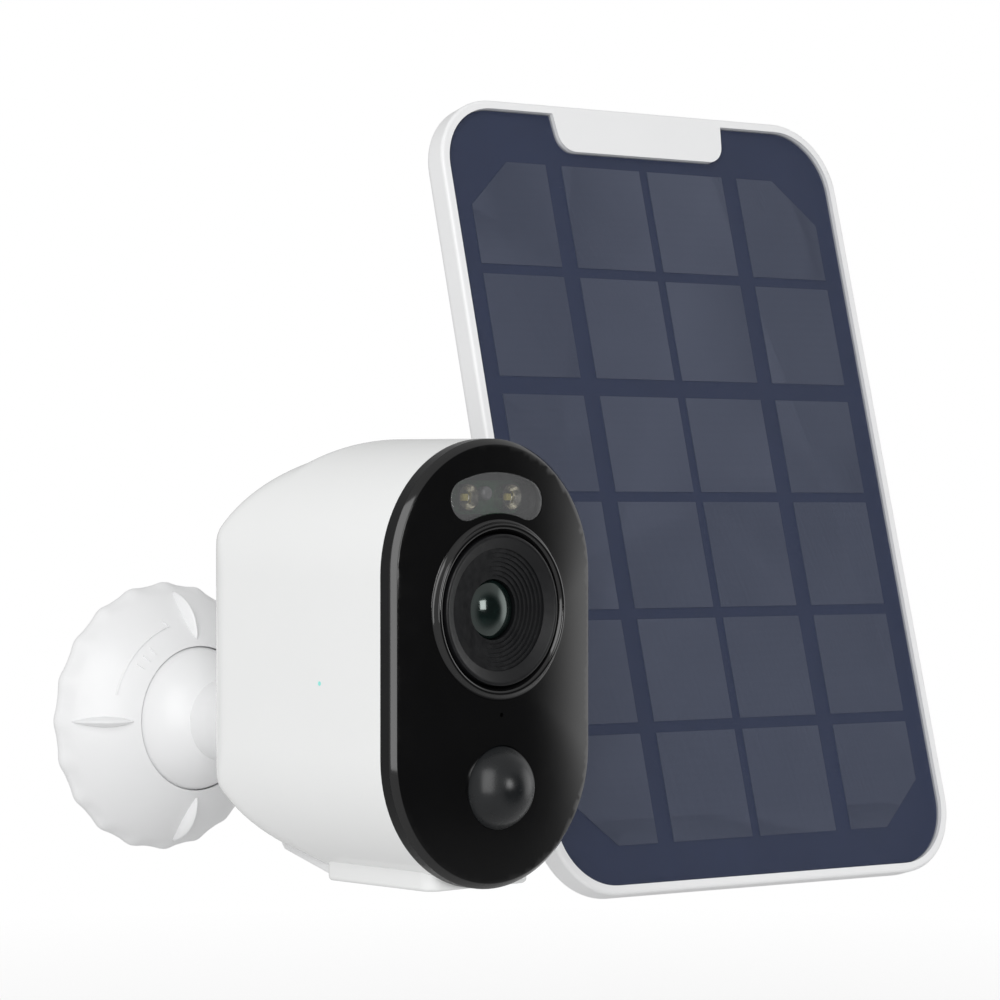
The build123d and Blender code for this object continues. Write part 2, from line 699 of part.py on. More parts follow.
with BuildPart() as battery_holder:
    with BuildSketch(face_plane(CELL_DEPTH - CELL_R - 0.2)):
        Rectangle(HOLDER_W, HOLDER_H)
    extrude(amount=HOLDER_T)
    with BuildSketch(face_plane(CELL_DEPTH - CELL_R - 0.2)):
        with Locations((0, (CELL_LENGTH + END_T) / 2), (0, -(CELL_LENGTH + END_T) / 2)):
            Rectangle(END_W, END_T)
    extrude(amount=-END_DEPTH)
battery_holder.part.label = "battery_holder"
export_step(battery_holder.part, "parts/battery_holder.step")

with BuildPart() as antenna:
    with BuildSketch(Plane.XY.offset(HEAD_Z + 38.0)):
        with Locations((0, FACE_Y + 26)):
            Rectangle(24, 9)
    extrude(amount=0.8)
antenna.part.label = "antenna"
export_step(antenna.part, "parts/antenna.step")

# ---------------------------------------------------------------- ball brackets

SEAT_R = BALL_R + RUN_GAP + LINER_T + RUN_GAP
FLOOR_Y = -1.8
BALL_OPEN = 70.0  # the ball is cut off this far round from the wall
LIP_Y = -20.9
MOUTH_Y = -22.5
RING_FRONT_Y = -23.0
MOUTH_R = 16.36
LINER_FROM = 64.0
LINER_TO = 76.0
SCALLOPS = 20
STUD_BURIED = 12.0
STUD_OUT = 8.5


def ball_point(radius, angle):
    """A point of a round about the ball's centre; the angle is measured from the wall."""
    return (radius * sin(radians(angle)), radius * cos(radians(angle)))


def bracket(unit, mount_x, mount_z, neck_frame, reach):
    """One ball bracket at a wall place; neck_frame has its Y axis down the neck, to the wall."""
    axis = turning_axis(mount_x, mount_z)
    wall_frame = turning_plane(mount_x, mount_z)
    ball_frame = turning_plane(mount_x, mount_z, BALL_Y)
    wall_face = Plane(origin=(mount_x, 0, mount_z), x_dir=(1, 0, 0), z_dir=(0, -1, 0))
    neck_axis = Axis(neck_frame.origin, neck_frame.y_dir)

    with BuildPart() as wall_plate:
        with BuildSketch(wall_face):
            Circle(PLATE_R)
            SlotOverall(SCREW_SPACING + 8.6, 8.6, rotation=90)
        extrude(amount=PLATE_T)
        with BuildSketch(wall_face):
            Circle(COLLAR_R)
        extrude(amount=14.0)
        with BuildSketch(wall_frame):
            with BuildLine():
                floor_r = sqrt(SEAT_R**2 - (FLOOR_Y - BALL_Y) ** 2)
                Line((0, FLOOR_Y), (floor_r, FLOOR_Y))
                ThreePointArc((floor_r, FLOOR_Y), ball_seat_point(45), (SEAT_R, BALL_Y))
                Line((SEAT_R, BALL_Y), (0, BALL_Y))
                Line((0, BALL_Y), (0, FLOOR_Y))
            make_face()
        revolve(axis=axis, mode=Mode.SUBTRACT)
        with BuildSketch(wall_face):
            with GridLocations(1, SCREW_SPACING, 1, 2):
                Circle(SCREW_HOLE_R)
        extrude(amount=PLATE_T, mode=Mode.SUBTRACT)
    wall_plate.part.label = f"{unit}_wall_plate"
    export_step(wall_plate.part, f"parts/{unit}_wall_plate.step")

    with BuildPart() as liner:
        with BuildSketch(ball_frame):
            with BuildLine():
                inner = BALL_R + RUN_GAP
                outer = inner + LINER_T
                middle = (LINER_FROM + LINER_TO) / 2
                Line(ball_point(inner, LINER_FROM), ball_point(outer, LINER_FROM))
                ThreePointArc(*(ball_point(outer, a) for a in (LINER_FROM, middle, LINER_TO)))
                Line(ball_point(outer, LINER_TO), ball_point(inner, LINER_TO))
                ThreePointArc(*(ball_point(inner, a) for a in (LINER_TO, middle, LINER_FROM)))
            make_face()
        revolve(axis=axis)
    liner.part.label = f"{unit}_ball_liner"
    export_step(liner.part, f"parts/{unit}_ball_liner.step")

    with BuildPart() as clamp_ring:
        with BuildSketch(wall_frame):
            with BuildLine():
                hold = BALL_R + RUN_GAP
                lip_r = sqrt(hold**2 - (LIP_Y - BALL_Y) ** 2)
                mouth_r = sqrt(hold**2 - (MOUTH_Y - BALL_Y) ** 2)
                Line((mouth_r, MOUTH_Y), (MOUTH_R, RING_FRONT_Y))
                ThreePointArc((MOUTH_R, RING_FRONT_Y), (24.2, -17.6), (RING_R, -10.4))
                Polyline(
                    (RING_R, -10.4),
                    (RING_R, -9.0),
                    (29.8, -8.4),
                    (28.4, -8.4),
                    (22.3, -15.2),
                    (22.3, -6.2),
                    (COLLAR_R + RUN_GAP, -6.2),
                    (COLLAR_R + RUN_GAP, -15.2),
                    (18.6, -15.2),
                    (18.6, LIP_Y),
                    (lip_r, LIP_Y),
                    (mouth_r, MOUTH_Y),
                )
            make_face()
        revolve(axis=axis)
        with BuildSketch(wall_face):
            with PolarLocations(RING_R + 6.2, SCALLOPS, start_angle=9):
                Circle(7.0)
        extrude(amount=14, mode=Mode.SUBTRACT)
        with BuildSketch(wall_frame):
            Polygon((17.6, -21.6), (24.6, -19.2), (28.6, -13.4), (24.0, -15.0), align=None)
        rib = extrude(amount=0.9, both=True, mode=Mode.PRIVATE)
        add([rib.rotate(axis, turn) for turn in (0, 90, 180, 270)])
    clamp_ring.part.label = f"{unit}_clamp_ring"
    export_step(clamp_ring.part, f"parts/{unit}_clamp_ring.step")

    neck_end = -(reach - BODY_GAP - WASHER_T)
    with BuildPart() as ball:
        with BuildSketch(neck_frame):
            with BuildLine():
                cut = ball_point(BALL_R, BALL_OPEN)
                root = (NECK_R, -sqrt(BALL_R**2 - NECK_R**2))
                Polyline(
                    (THREAD_R, neck_end),
                    (NECK_END_R, neck_end),
                    (NECK_END_R, neck_end + 3),
                    (NECK_R, -20),
                    root,
                )
                ThreePointArc(root, (BALL_R, 0), cut)
                Polyline(
                    cut,
                    (10, cut[1]),
                    (10, -5),
                    (0, -5),
                    (0, neck_end + STUD_BURIED),
                    (THREAD_R, neck_end + STUD_BURIED),
                    (THREAD_R, neck_end),
                )
            make_face()
        revolve(axis=neck_axis)
    ball.part.label = f"{unit}_ball"
    export_step(ball.part, f"parts/{unit}_ball.step")

    stud_face = Plane(origin=neck_frame.from_local_coords((0, neck_end, 0)), z_dir=-neck_frame.y_dir)
    with BuildPart() as stud:
        with BuildSketch(stud_face):
            Circle(THREAD_R)
        extrude(amount=-STUD_BURIED)
        extrude(stud.faces().sort_by(neck_axis)[0], amount=WASHER_T + BODY_GAP + STUD_OUT)
        chamfer(stud.faces().sort_by(neck_axis)[0].edges(), 0.5)
    stud.part.label = f"{unit}_stud"
    export_step(stud.part, f"parts/{unit}_stud.step")

    with BuildPart() as washer:
        with BuildSketch(stud_face):
            Circle(NECK_R)
            Circle(THREAD_R + RUN_GAP, mode=Mode.SUBTRACT)
        extrude(amount=WASHER_T)
    washer.part.label = f"{unit}_washer"
    export_step(washer.part, f"parts/{unit}_washer.step")


def ball_seat_point(angle):
    """A point of the wall plate's round seat, in the wall frame."""
    across, along = ball_point(SEAT_R, angle)
    return (across, BALL_Y + along)


CAMERA_REACH = BALL_Y - FACE_Y - HEAD_DEPTH
PANEL_REACH = PANEL_STANDOFF - HUB_DEPTH
bracket("camera", 0, 0, turning_plane(0, 0, BALL_Y), CAMERA_REACH)
panel_neck_frame = Plane(origin=PANEL_BALL, x_dir=PANEL_RIGHT, z_dir=PANEL_RIGHT.cross(-PANEL_OUT))
bracket("panel", PANEL_MOUNT_X, PANEL_MOUNT_Z, panel_neck_frame, PANEL_REACH)

# ---------------------------------------------------------------- solar panel

FRAME_LEDGE = 5.0
FRAME_LEDGE_DEPTH = 1.7
COVER_DEPTH = 4.0
COVER_INSET = 2.7
COVER_FIT = 0.1
TAB_ROOM = 16.0  # height left for the tab at the top of the frame's opening
TAB_SHIFT = 3.0
COVER_SCREW_R = 1.2
COVER_SCREW_HEAD_R = 2.3
COVER_SCREW_HEAD_T = 1.2
COVER_SCREWS = [(x, z) for x in (-48.0, 48.0) for z in (-82.0, 0.0, 82.0)]


def inset_rectangle(inset, shorter=0.0):
    """A rounded rectangle inside the laminate's edge, or outside it where inset is negative."""
    return RectangleRounded(LAMINATE_W - 2 * inset, LAMINATE_H - 2 * inset - shorter, LAMINATE_R - inset)


def laminate_outline(grow):
    """The laminate's rounded rectangle with the notch for the frame's tab in its top edge."""
    half_w = LAMINATE_W / 2
    top = LAMINATE_H / 2
    with BuildSketch(mode=Mode.PRIVATE) as outline:
        RectangleRounded(LAMINATE_W, LAMINATE_H, LAMINATE_R)
        with BuildSketch(mode=Mode.PRIVATE) as notch:
            Polygon(
                (-NOTCH_TOP, top + 4),
                (-NOTCH_TOP, top),
                (-NOTCH_LOW, top - NOTCH_DEPTH),
                (NOTCH_LOW, top - NOTCH_DEPTH),
                (NOTCH_TOP, top),
                (NOTCH_TOP, top + 4),
                align=None,
            )
            fillet(notch.vertices().group_by(Axis.Y)[0], NOTCH_R)
        add(notch.sketch, mode=Mode.SUBTRACT)
        offset(amount=grow)
    return outline.sketch


with BuildPart() as panel_frame:
    with BuildSketch(panel_plane(-PANEL_LIP)):
        inset_rectangle(-PANEL_RIM)
    extrude(amount=-PANEL_DEPTH - PANEL_LIP)
    fillet(panel_frame.edges().group_by(Axis(PANEL_CENTRE, PANEL_OUT))[0], 2.2)
    fillet(panel_frame.edges().group_by(Axis(PANEL_CENTRE, PANEL_OUT))[-1], 0.8)
    with BuildSketch(panel_plane(-PANEL_LIP)):
        add(laminate_outline(0.1))
    extrude(amount=-FRAME_LEDGE_DEPTH - PANEL_LIP, mode=Mode.SUBTRACT)
    with BuildSketch(panel_plane(FRAME_LEDGE_DEPTH)):
        with Locations((0, -TAB_SHIFT)):
            inset_rectangle(FRAME_LEDGE, TAB_ROOM)
    extrude(amount=-PANEL_DEPTH, mode=Mode.SUBTRACT)
    with BuildSketch(panel_plane(COVER_DEPTH)):
        inset_rectangle(COVER_INSET)
    extrude(amount=-PANEL_DEPTH, mode=Mode.SUBTRACT)
panel_frame.part.label = "panel_frame"
export_step(panel_frame.part, "parts/panel_frame.step")

with BuildPart() as panel_backsheet:
    with BuildSketch(panel_plane(0.6)):
        add(laminate_outline(0))
    extrude(amount=0.6 - FRAME_LEDGE_DEPTH)
panel_backsheet.part.label = "panel_backsheet"
export_step(panel_backsheet.part, "parts/panel_backsheet.step")

with BuildPart() as solar_cells:
    with BuildSketch(panel_plane(0.6)):
        top = CELL_TOP
        for row, (height, gap) in enumerate(zip(CELL_HEIGHTS, CELL_GAPS + (0,))):
            with Locations(*((column, top - height / 2) for column in CELL_COLUMNS)):
                Rectangle(CELL_W, height)
            top -= height + gap
        edge_x = CELL_COLUMNS[-1] + CELL_W / 2
        for side in (-1, 1):
            for corner, inward in ((CELL_TOP, -1), (top, 1)):
                Polygon(
                    (side * edge_x, corner),
                    (side * (edge_x - CELL_CUT_X), corner),
                    (side * edge_x, corner + inward * CELL_CUT_Z),
                    align=None,
                    mode=Mode.SUBTRACT,
                )
    extrude(amount=0.25)
solar_cells.part.label = "solar_cells"
export_step(solar_cells.part, "parts/solar_cells.step")

with BuildPart() as panel_film:
    with BuildSketch(panel_plane(0.35)):
        add(laminate_outline(0))
    extrude(amount=0.35)
panel_film.part.label = "panel_film"
export_step(panel_film.part, "parts/panel_film.step")

with BuildPart() as panel_back:
    with BuildSketch(panel_plane(COVER_DEPTH)):
        inset_rectangle(COVER_INSET + COVER_FIT)
    extrude(amount=COVER_DEPTH - PANEL_DEPTH)
    with BuildSketch(panel_plane(PANEL_DEPTH)):
        Circle(HUB_R)
    extrude(amount=PANEL_DEPTH - HUB_DEPTH, taper=12)
    with BuildSketch(panel_plane(HUB_DEPTH)):
        Circle(INSERT_R)
    extrude(amount=INSERT_LENGTH, mode=Mode.SUBTRACT)
    with BuildSketch(panel_plane(PANEL_DEPTH)):
        with Locations(*COVER_SCREWS):
            Circle(COVER_SCREW_R)
    extrude(amount=PANEL_DEPTH, mode=Mode.SUBTRACT)
panel_back.part.label = "panel_back"
export_step(panel_back.part, "parts/panel_back.step")

with BuildPart() as panel_insert:
    with BuildSketch(panel_plane(HUB_DEPTH)):
        Circle(INSERT_R)
        Circle(THREAD_R + RUN_GAP, mode=Mode.SUBTRACT)
    extrude(amount=INSERT_LENGTH)
panel_insert.part.label = "panel_insert"
export_step(panel_insert.part, "parts/panel_insert.step")

with BuildPart() as panel_screws:
    with BuildSketch(panel_plane(PANEL_DEPTH)):
        with Locations(*COVER_SCREWS):
            Circle(COVER_SCREW_HEAD_R)
    extrude(amount=-COVER_SCREW_HEAD_T)
    with BuildSketch(panel_plane(PANEL_DEPTH)):
        with Locations(*COVER_SCREWS):
            Circle(COVER_SCREW_R)
    extrude(amount=PANEL_DEPTH - COVER_DEPTH)
panel_screws.part.label = "panel_screws"
export_step(panel_screws.part, "parts/panel_screws.step")

BOX_Z = -46.0
BOX_W = 34.0
BOX_H = 24.0
BOX_T = 7.5
GLAND_DEPTH = 3.6  # behind the back cover
GLAND_R = 3.2
GLAND_LENGTH = 7.0
LEAD_HOLE_R = 1.9
LEAD_HOLE_DEPTH = 5.0
with BuildPart() as junction_box:
    with BuildSketch(panel_plane(PANEL_DEPTH)):
        with Locations((0, BOX_Z)):
            RectangleRounded(BOX_W, BOX_H, 3)
    extrude(amount=-BOX_T)
junction_box.part.label = "junction_box"
export_step(junction_box.part, "parts/junction_box.step")

gland_origin = panel_plane(PANEL_DEPTH + GLAND_DEPTH).from_local_coords((0, BOX_Z - BOX_H / 2, 0))
gland_plane = Plane(origin=gland_origin, z_dir=-panel_plane().y_dir)
with BuildPart() as cable_gland:
    with BuildSketch(gland_plane):
        Circle(GLAND_R)
    extrude(amount=GLAND_LENGTH)
    with BuildSketch(gland_plane.offset(GLAND_LENGTH)):
        Circle(LEAD_HOLE_R)
    extrude(amount=-LEAD_HOLE_DEPTH, mode=Mode.SUBTRACT)
cable_gland.part.label = "cable_gland"
export_step(cable_gland.part, "parts/cable_gland.step")
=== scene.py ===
"""Looks of a solar-powered security camera: a battery camera head and a solar panel, each on
its own ball bracket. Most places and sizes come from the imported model. Lengths are in
millimetres until a mesh is made, and MM turns them into metres. Only the camera, the
lights and the floor are placed in metres.
"""

import json
from math import atan2, cos, hypot, pi, radians, sin, sqrt

import bmesh
import bpy
from mathutils import Matrix, Vector
from mathutils.geometry import delaunay_2d_cdt


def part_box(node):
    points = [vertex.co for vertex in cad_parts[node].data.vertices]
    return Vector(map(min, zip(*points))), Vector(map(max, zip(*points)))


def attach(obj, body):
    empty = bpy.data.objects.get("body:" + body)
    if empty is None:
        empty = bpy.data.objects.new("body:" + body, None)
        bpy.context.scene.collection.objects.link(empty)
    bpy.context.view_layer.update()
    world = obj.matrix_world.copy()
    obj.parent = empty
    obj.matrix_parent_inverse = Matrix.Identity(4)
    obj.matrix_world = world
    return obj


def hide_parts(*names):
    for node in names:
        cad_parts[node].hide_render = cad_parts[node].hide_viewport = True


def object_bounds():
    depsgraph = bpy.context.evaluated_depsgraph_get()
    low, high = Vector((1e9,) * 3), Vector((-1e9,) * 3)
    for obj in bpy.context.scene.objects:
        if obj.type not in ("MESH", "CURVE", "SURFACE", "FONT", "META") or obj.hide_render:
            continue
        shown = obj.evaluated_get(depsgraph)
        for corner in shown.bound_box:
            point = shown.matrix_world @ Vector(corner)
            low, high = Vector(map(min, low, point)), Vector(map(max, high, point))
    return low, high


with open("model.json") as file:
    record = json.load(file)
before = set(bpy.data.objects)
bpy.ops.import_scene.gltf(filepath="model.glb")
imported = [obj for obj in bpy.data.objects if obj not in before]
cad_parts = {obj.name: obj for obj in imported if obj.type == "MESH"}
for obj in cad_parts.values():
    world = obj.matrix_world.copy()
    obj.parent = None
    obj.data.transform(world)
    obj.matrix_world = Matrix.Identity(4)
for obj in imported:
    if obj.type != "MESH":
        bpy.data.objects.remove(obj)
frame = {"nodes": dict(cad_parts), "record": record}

MM = 0.001
CAD_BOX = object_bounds()

# ------------------------------------------------------------------ places taken from the frame


def middle(node):
    """The centre of a node's box, in millimetres."""
    low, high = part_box(node)
    return (low + high) / 2 / MM


def span(node):
    """The size of a node's box, in millimetres."""
    low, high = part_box(node)
    return (high - low) / MM


FACE_CHAMFER = 1.27
FACE_CROWN = 2.15
CARRIER = middle("face_carrier")
HEAD_Z = CARRIER.z
HEAD_HALF_W = span("face_carrier").x / 2
HEAD_HALF_H = span("face_carrier").z / 2
SIDE_HALF = HEAD_HALF_H - HEAD_HALF_W
RIM_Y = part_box("face_plate")[1].y / MM - FACE_CHAMFER
SHELL_FRONT = 3.9
SHELL_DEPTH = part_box("rear_shell")[1].y / MM - RIM_Y
LENS_RIM_R = span("lens_rim").x / 2
LENS_Z = middle("lens_rim").z - HEAD_Z
BARREL_R = span("lens_barrel").x / 2
GLASS_R = span("front_lens").x / 2
PIR_Z = middle("motion_dome").z - HEAD_Z
PIR_R = span("motion_dome").x / 2
MIC_Z = middle("microphone").z - HEAD_Z
MIC_HOLE_R = 0.45
RUN_GAP = 0.05


def on_head(x, depth, z):
    """A point given across the head, behind its front rim and above its middle."""
    return (CARRIER.x + x, RIM_Y + depth, HEAD_Z + z)


# ------------------------------------------------------------------ node material helpers


class Finish:
    """One node material on a Principled shader, with its pattern on Object coordinates."""

    def __init__(self, name, colour, roughness, **sockets):
        self.material = bpy.data.materials.new(name)
        self.material.use_nodes = True
        self.nodes = self.material.node_tree.nodes
        self.links = self.material.node_tree.links
        self.shader = self.nodes["Principled BSDF"]
        self.colour = colour
        self.shader.inputs["Base Color"].default_value = (*colour, 1)
        self.shader.inputs["Roughness"].default_value = roughness
        for socket, value in sockets.items():
            self.shader.inputs[socket.replace("_", " ")].default_value = value
        self.roughness = roughness
        self.place = self.nodes.new("ShaderNodeTexCoord").outputs["Object"]
        self.height = None

    def noise(self, size, detail=3.0, stretch=(1, 1, 1)):
        """Noise whose grains are about size millimetres across."""
        texture = self.nodes.new("ShaderNodeTexNoise")
        texture.inputs["Scale"].default_value = 1 / (size * MM)
        texture.inputs["Detail"].default_value = detail
        mapping = self.nodes.new("ShaderNodeMapping")
        mapping.inputs["Scale"].default_value = stretch
        self.links.new(self.place, mapping.inputs["Vector"])
        self.links.new(mapping.outputs["Vector"], texture.inputs["Vector"])
        return texture.outputs["Fac"]

    def ramp(self, value, low, high, start=0.3, end=0.7):
        """value spread linearly from low to high between start and end."""
        spread = self.nodes.new("ShaderNodeMapRange")
        spread.inputs["From Min"].default_value = start
        spread.inputs["From Max"].default_value = end
        spread.inputs["To Min"].default_value = low
        spread.inputs["To Max"].default_value = high
        self.links.new(value, spread.inputs["Value"])
        return spread.outputs["Result"]

    def mottle(self, size, amount, tint=(1, 1, 1)):
        """Colour that wanders by amount either side of its mean, over patches of size millimetres."""
        blend = self.nodes.new("ShaderNodeMix")
        blend.data_type = "RGBA"
        darker = [max(0, c * (1 - amount)) for c in self.colour]
        lighter = [min(1, c * (1 + amount) * t) for c, t in zip(self.colour, tint)]
        blend.inputs["A"].default_value = (*darker, 1)
        blend.inputs["B"].default_value = (*lighter, 1)
        self.links.new(self.ramp(self.noise(size), 0, 1), blend.inputs["Factor"])
        self.links.new(blend.outputs["Result"], self.shader.inputs["Base Color"])
        return self

    def wear(self, size, amount):
        """Roughness that wanders by amount either side of its mean."""
        spread = self.ramp(self.noise(size), self.roughness - amount, self.roughness + amount)
        self.links.new(spread, self.shader.inputs["Roughness"])
        return self

    def bump(self, value, depth, strength=1.0):
        """Relief of depth millimetres from a value between 0 and 1, on top of any before it."""
        relief = self.nodes.new("ShaderNodeBump")
        relief.inputs["Distance"].default_value = depth * MM
        relief.inputs["Strength"].default_value = strength
        self.links.new(value, relief.inputs["Height"])
        if self.height:
            self.links.new(self.height, relief.inputs["Normal"])
        self.height = relief.outputs["Normal"]
        self.links.new(self.height, self.shader.inputs["Normal"])
        return self

    def grain(self, size, depth, detail=3.0, stretch=(1, 1, 1)):
        return self.bump(self.noise(size, detail, stretch), depth)


# ------------------------------------------------------------------ finishes


def gloss_white_shell():
    finish = Finish("shell_white", (0.86, 0.866, 0.862), 0.16, Coat_Weight=0.35, Coat_Roughness=0.05)
    return finish.mottle(25, 0.006).wear(6, 0.03).grain(2.2, 0.0016)


def satin_white_bracket():
    finish = Finish("bracket_white", (0.84, 0.843, 0.848), 0.34)
    return finish.mottle(18, 0.008).wear(3, 0.05).grain(0.35, 0.006).grain(5, 0.004)


def matt_silicone():
    finish = Finish("soft_white", (0.80, 0.803, 0.808), 0.55, Sheen_Weight=0.15)
    return finish.mottle(9, 0.012).wear(2, 0.06).grain(0.18, 0.01)


def gloss_black_face():
    finish = Finish("face_black", (0.0032, 0.0032, 0.0034), 0.1, Coat_Weight=0.15, Coat_Roughness=0.03)
    return finish.mottle(12, 0.1).wear(5, 0.02).grain(3, 0.0006)


def satin_black_carrier():
    finish = Finish("carrier_black", (0.006, 0.006, 0.0065), 0.3, Specular_IOR_Level=0.16)
    return finish.mottle(8, 0.12).wear(2, 0.05).grain(0.25, 0.006)


def satin_black_barrel():
    finish = Finish("lens_black", (0.006, 0.0062, 0.007), 0.36, Specular_IOR_Level=0.32)
    return finish.mottle(5, 0.15).wear(1.5, 0.06).grain(0.18, 0.006)


def coated_glass():
    finish = Finish("lens_glass", (0.004, 0.0065, 0.0062), 0.13, IOR=1.55, Coat_Weight=0.6,
                    Coat_Roughness=0.01)
    finish.shader.inputs["Coat Tint"].default_value = (0.75, 1.0, 0.9, 1)
    return finish.mottle(3, 0.4, tint=(0.7, 1, 1)).wear(4, 0.01).grain(6, 0.0004)


def smoked_window():
    finish = Finish("lamp_clear", (0.19, 0.192, 0.195), 0.12, Alpha=0.34, Coat_Weight=0.6,
                    Coat_Roughness=0.03)
    return finish.mottle(4, 0.05).wear(3, 0.03).grain(0.5, 0.002)


def bright_reflector():
    finish = Finish("reflector", (0.62, 0.60, 0.52), 0.2, Metallic=1.0)
    return finish.mottle(1.2, 0.2).wear(1, 0.08).grain(0.4, 0.012)


def phosphor_chip():
    finish = Finish("lamp_yellow", (0.75, 0.66, 0.22), 0.5)
    return finish.mottle(0.4, 0.15).wear(0.5, 0.08).grain(0.12, 0.01)


def clear_resin():
    finish = Finish("sensor_clear", (0.30, 0.30, 0.31), 0.08, Coat_Weight=0.8)
    return finish.mottle(0.8, 0.2).wear(1, 0.03).grain(1, 0.002)


def dark_dome():
    finish = Finish("dome_dark", (0.007, 0.008, 0.009), 0.26, Specular_IOR_Level=0.4)
    return finish.mottle(4, 0.12).wear(3, 0.04).grain(0.6, 0.003)


def dark_rubber():
    finish = Finish("seal_dark", (0.025, 0.025, 0.027), 0.7)
    return finish.mottle(3, 0.2).wear(1, 0.08).grain(0.2, 0.02)


def green_board():
    finish = Finish("board_green", (0.012, 0.11, 0.035), 0.4)
    return finish.mottle(1.5, 0.35).wear(2, 0.08).grain(0.7, 0.02, stretch=(1, 1, 3))


def tinned_can():
    finish = Finish("metal_can", (0.60, 0.60, 0.61), 0.32, Metallic=1.0)
    return finish.mottle(2, 0.06).wear(1, 0.08).grain(0.4, 0.008, stretch=(1, 1, 8))


def zinc_steel():
    finish = Finish("steel", (0.55, 0.55, 0.57), 0.3, Metallic=1.0)
    return finish.mottle(1, 0.08).wear(0.8, 0.1).grain(0.3, 0.008)


def turned_brass():
    finish = Finish("brass", (0.72, 0.52, 0.20), 0.28, Metallic=1.0)
    return finish.mottle(1.5, 0.08).wear(1, 0.08).grain(0.3, 0.01, stretch=(1, 6, 1))


def cell_sleeve():
    finish = Finish("cell_wrap", (0.02, 0.13, 0.42), 0.28)
    return finish.mottle(6, 0.08).wear(3, 0.06).grain(4, 0.03, stretch=(1, 1, 0.2))


def holder_plastic():
    finish = Finish("holder_grey", (0.06, 0.06, 0.065), 0.5)
    return finish.mottle(3, 0.1).wear(2, 0.07).grain(0.3, 0.012)


def status_pipe():
    finish = Finish("status_cyan", (0.25, 0.72, 0.66), 0.2, Emission_Color=(0.4, 0.75, 0.7, 1),
                    Emission_Strength=0.12)
    return finish.mottle(0.3, 0.1).wear(0.5, 0.03).grain(0.3, 0.002)


def navy_backsheet():
    finish = Finish("backsheet_navy", (0.014, 0.022, 0.066), 0.5)
    return finish.mottle(14, 0.08).wear(3, 0.05).grain(0.5, 0.01)


def solar_silicon():
    """Slate cells with fine level contact fingers."""
    finish = Finish("silicon", (0.081, 0.092, 0.136), 0.42)
    finish.mottle(40, 0.07, tint=(1.0, 1.0, 0.98)).wear(2, 0.05)
    fingers = finish.nodes.new("ShaderNodeTexWave")
    fingers.bands_direction = "Z"
    fingers.inputs["Scale"].default_value = 160.0
    finish.links.new(finish.place, fingers.inputs["Vector"])
    return finish.bump(fingers.outputs["Fac"], 0.01)


def embossed_film():
    """The clear embossed skin of the panel: a woven relief under a satin surface."""
    finish = Finish("film_clear", (0.055, 0.072, 0.125), 0.34, Alpha=0.20)
    weave = []
    for direction in ("X", "Z"):
        bands = finish.nodes.new("ShaderNodeTexWave")
        bands.bands_direction = direction
        bands.inputs["Scale"].default_value = 330.0
        bands.inputs["Distortion"].default_value = 1.2
        finish.links.new(finish.place, bands.inputs["Vector"])
        weave.append(bands.outputs["Fac"])
    finish.mottle(0.7, 0.10)
    finish.wear(1.2, 0.06)
    return finish.bump(weave[0], 0.03).bump(weave[1], 0.03)


FINISHES = {
    "shell_white": gloss_white_shell,
    "bracket_white": satin_white_bracket,
    "soft_white": matt_silicone,
    "face_black": gloss_black_face,
    "carrier_black": satin_black_carrier,
    "lens_black": satin_black_barrel,
    "lens_glass": coated_glass,
    "lamp_clear": smoked_window,
    "reflector": bright_reflector,
    "lamp_yellow": phosphor_chip,
    "sensor_clear": clear_resin,
    "dome_dark": dark_dome,
    "seal_dark": dark_rubber,
    "board_green": green_board,
    "metal_can": tinned_can,
    "steel": zinc_steel,
    "brass": turned_brass,
    "cell_wrap": cell_sleeve,
    "holder_grey": holder_plastic,
    "status_cyan": status_pipe,
    "backsheet_navy": navy_backsheet,
    "silicon": solar_silicon,
    "film_clear": embossed_film,
}
MATERIALS = {slot: make().material for slot, make in FINISHES.items()}
SLOTS = {part["node"]: part["material_slot"] for part in frame["record"]["subparts"]}
BODY_OF = {node: body for body, nodes in frame["record"]["behaviour"]["bodies"].items() for node in nodes}

for node, obj in frame["nodes"].items():
    obj.data.materials.clear()
    obj.data.materials.append(MATERIALS[SLOTS[node]])

# ------------------------------------------------------------------ mesh helpers

SHARP = radians(32)
SHARP_EDGE = radians(30)
SAME_PLACE = 1e-7


def mesh_of(points, faces):
    """A bmesh from points in millimetres and faces as lists of their indices."""
    bm = bmesh.new()
    verts = [bm.verts.new(Vector(p) * MM) for p in points]
    for face in faces:
        bm.faces.new([verts[i] for i in face])
    return bm


def closed(bm):
    """Welds a mesh and turns its faces outwards."""
    bmesh.ops.remove_doubles(bm, verts=bm.verts, dist=SAME_PLACE)
    bmesh.ops.dissolve_degenerate(bm, edges=bm.edges, dist=SAME_PLACE / 10)
    bmesh.ops.recalc_face_normals(bm, faces=bm.faces)
    return bm


def scratch_object(name, bm):
    mesh = bpy.data.meshes.new(name)
    bm.to_mesh(mesh)
    bm.free()
    obj = bpy.data.objects.new(name, mesh)
    bpy.context.scene.collection.objects.link(obj)
    return obj


def plain(obj):
    """Turns an object with modifiers into a plain mesh in its place."""
    bpy.context.view_layer.update()
    evaluated = obj.evaluated_get(bpy.context.evaluated_depsgraph_get())
    mesh = bpy.data.meshes.new_from_object(evaluated)
    obj.modifiers.clear()
    obj.data = mesh
    return obj


def finished(obj, like, *stands_for, smooth=SHARP):
    """Shades a piece, gives it the finish of the node it is like, and rides it on that node's body."""
    obj.data.materials.clear()
    obj.data.materials.append(MATERIALS[SLOTS[like]])
    for polygon in obj.data.polygons:
        polygon.use_smooth = True
        polygon.material_index = 0
    obj.data.set_sharp_from_angle(angle=smooth)
    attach(obj, BODY_OF[like])
    if stands_for:
        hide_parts(*stands_for)
    return obj


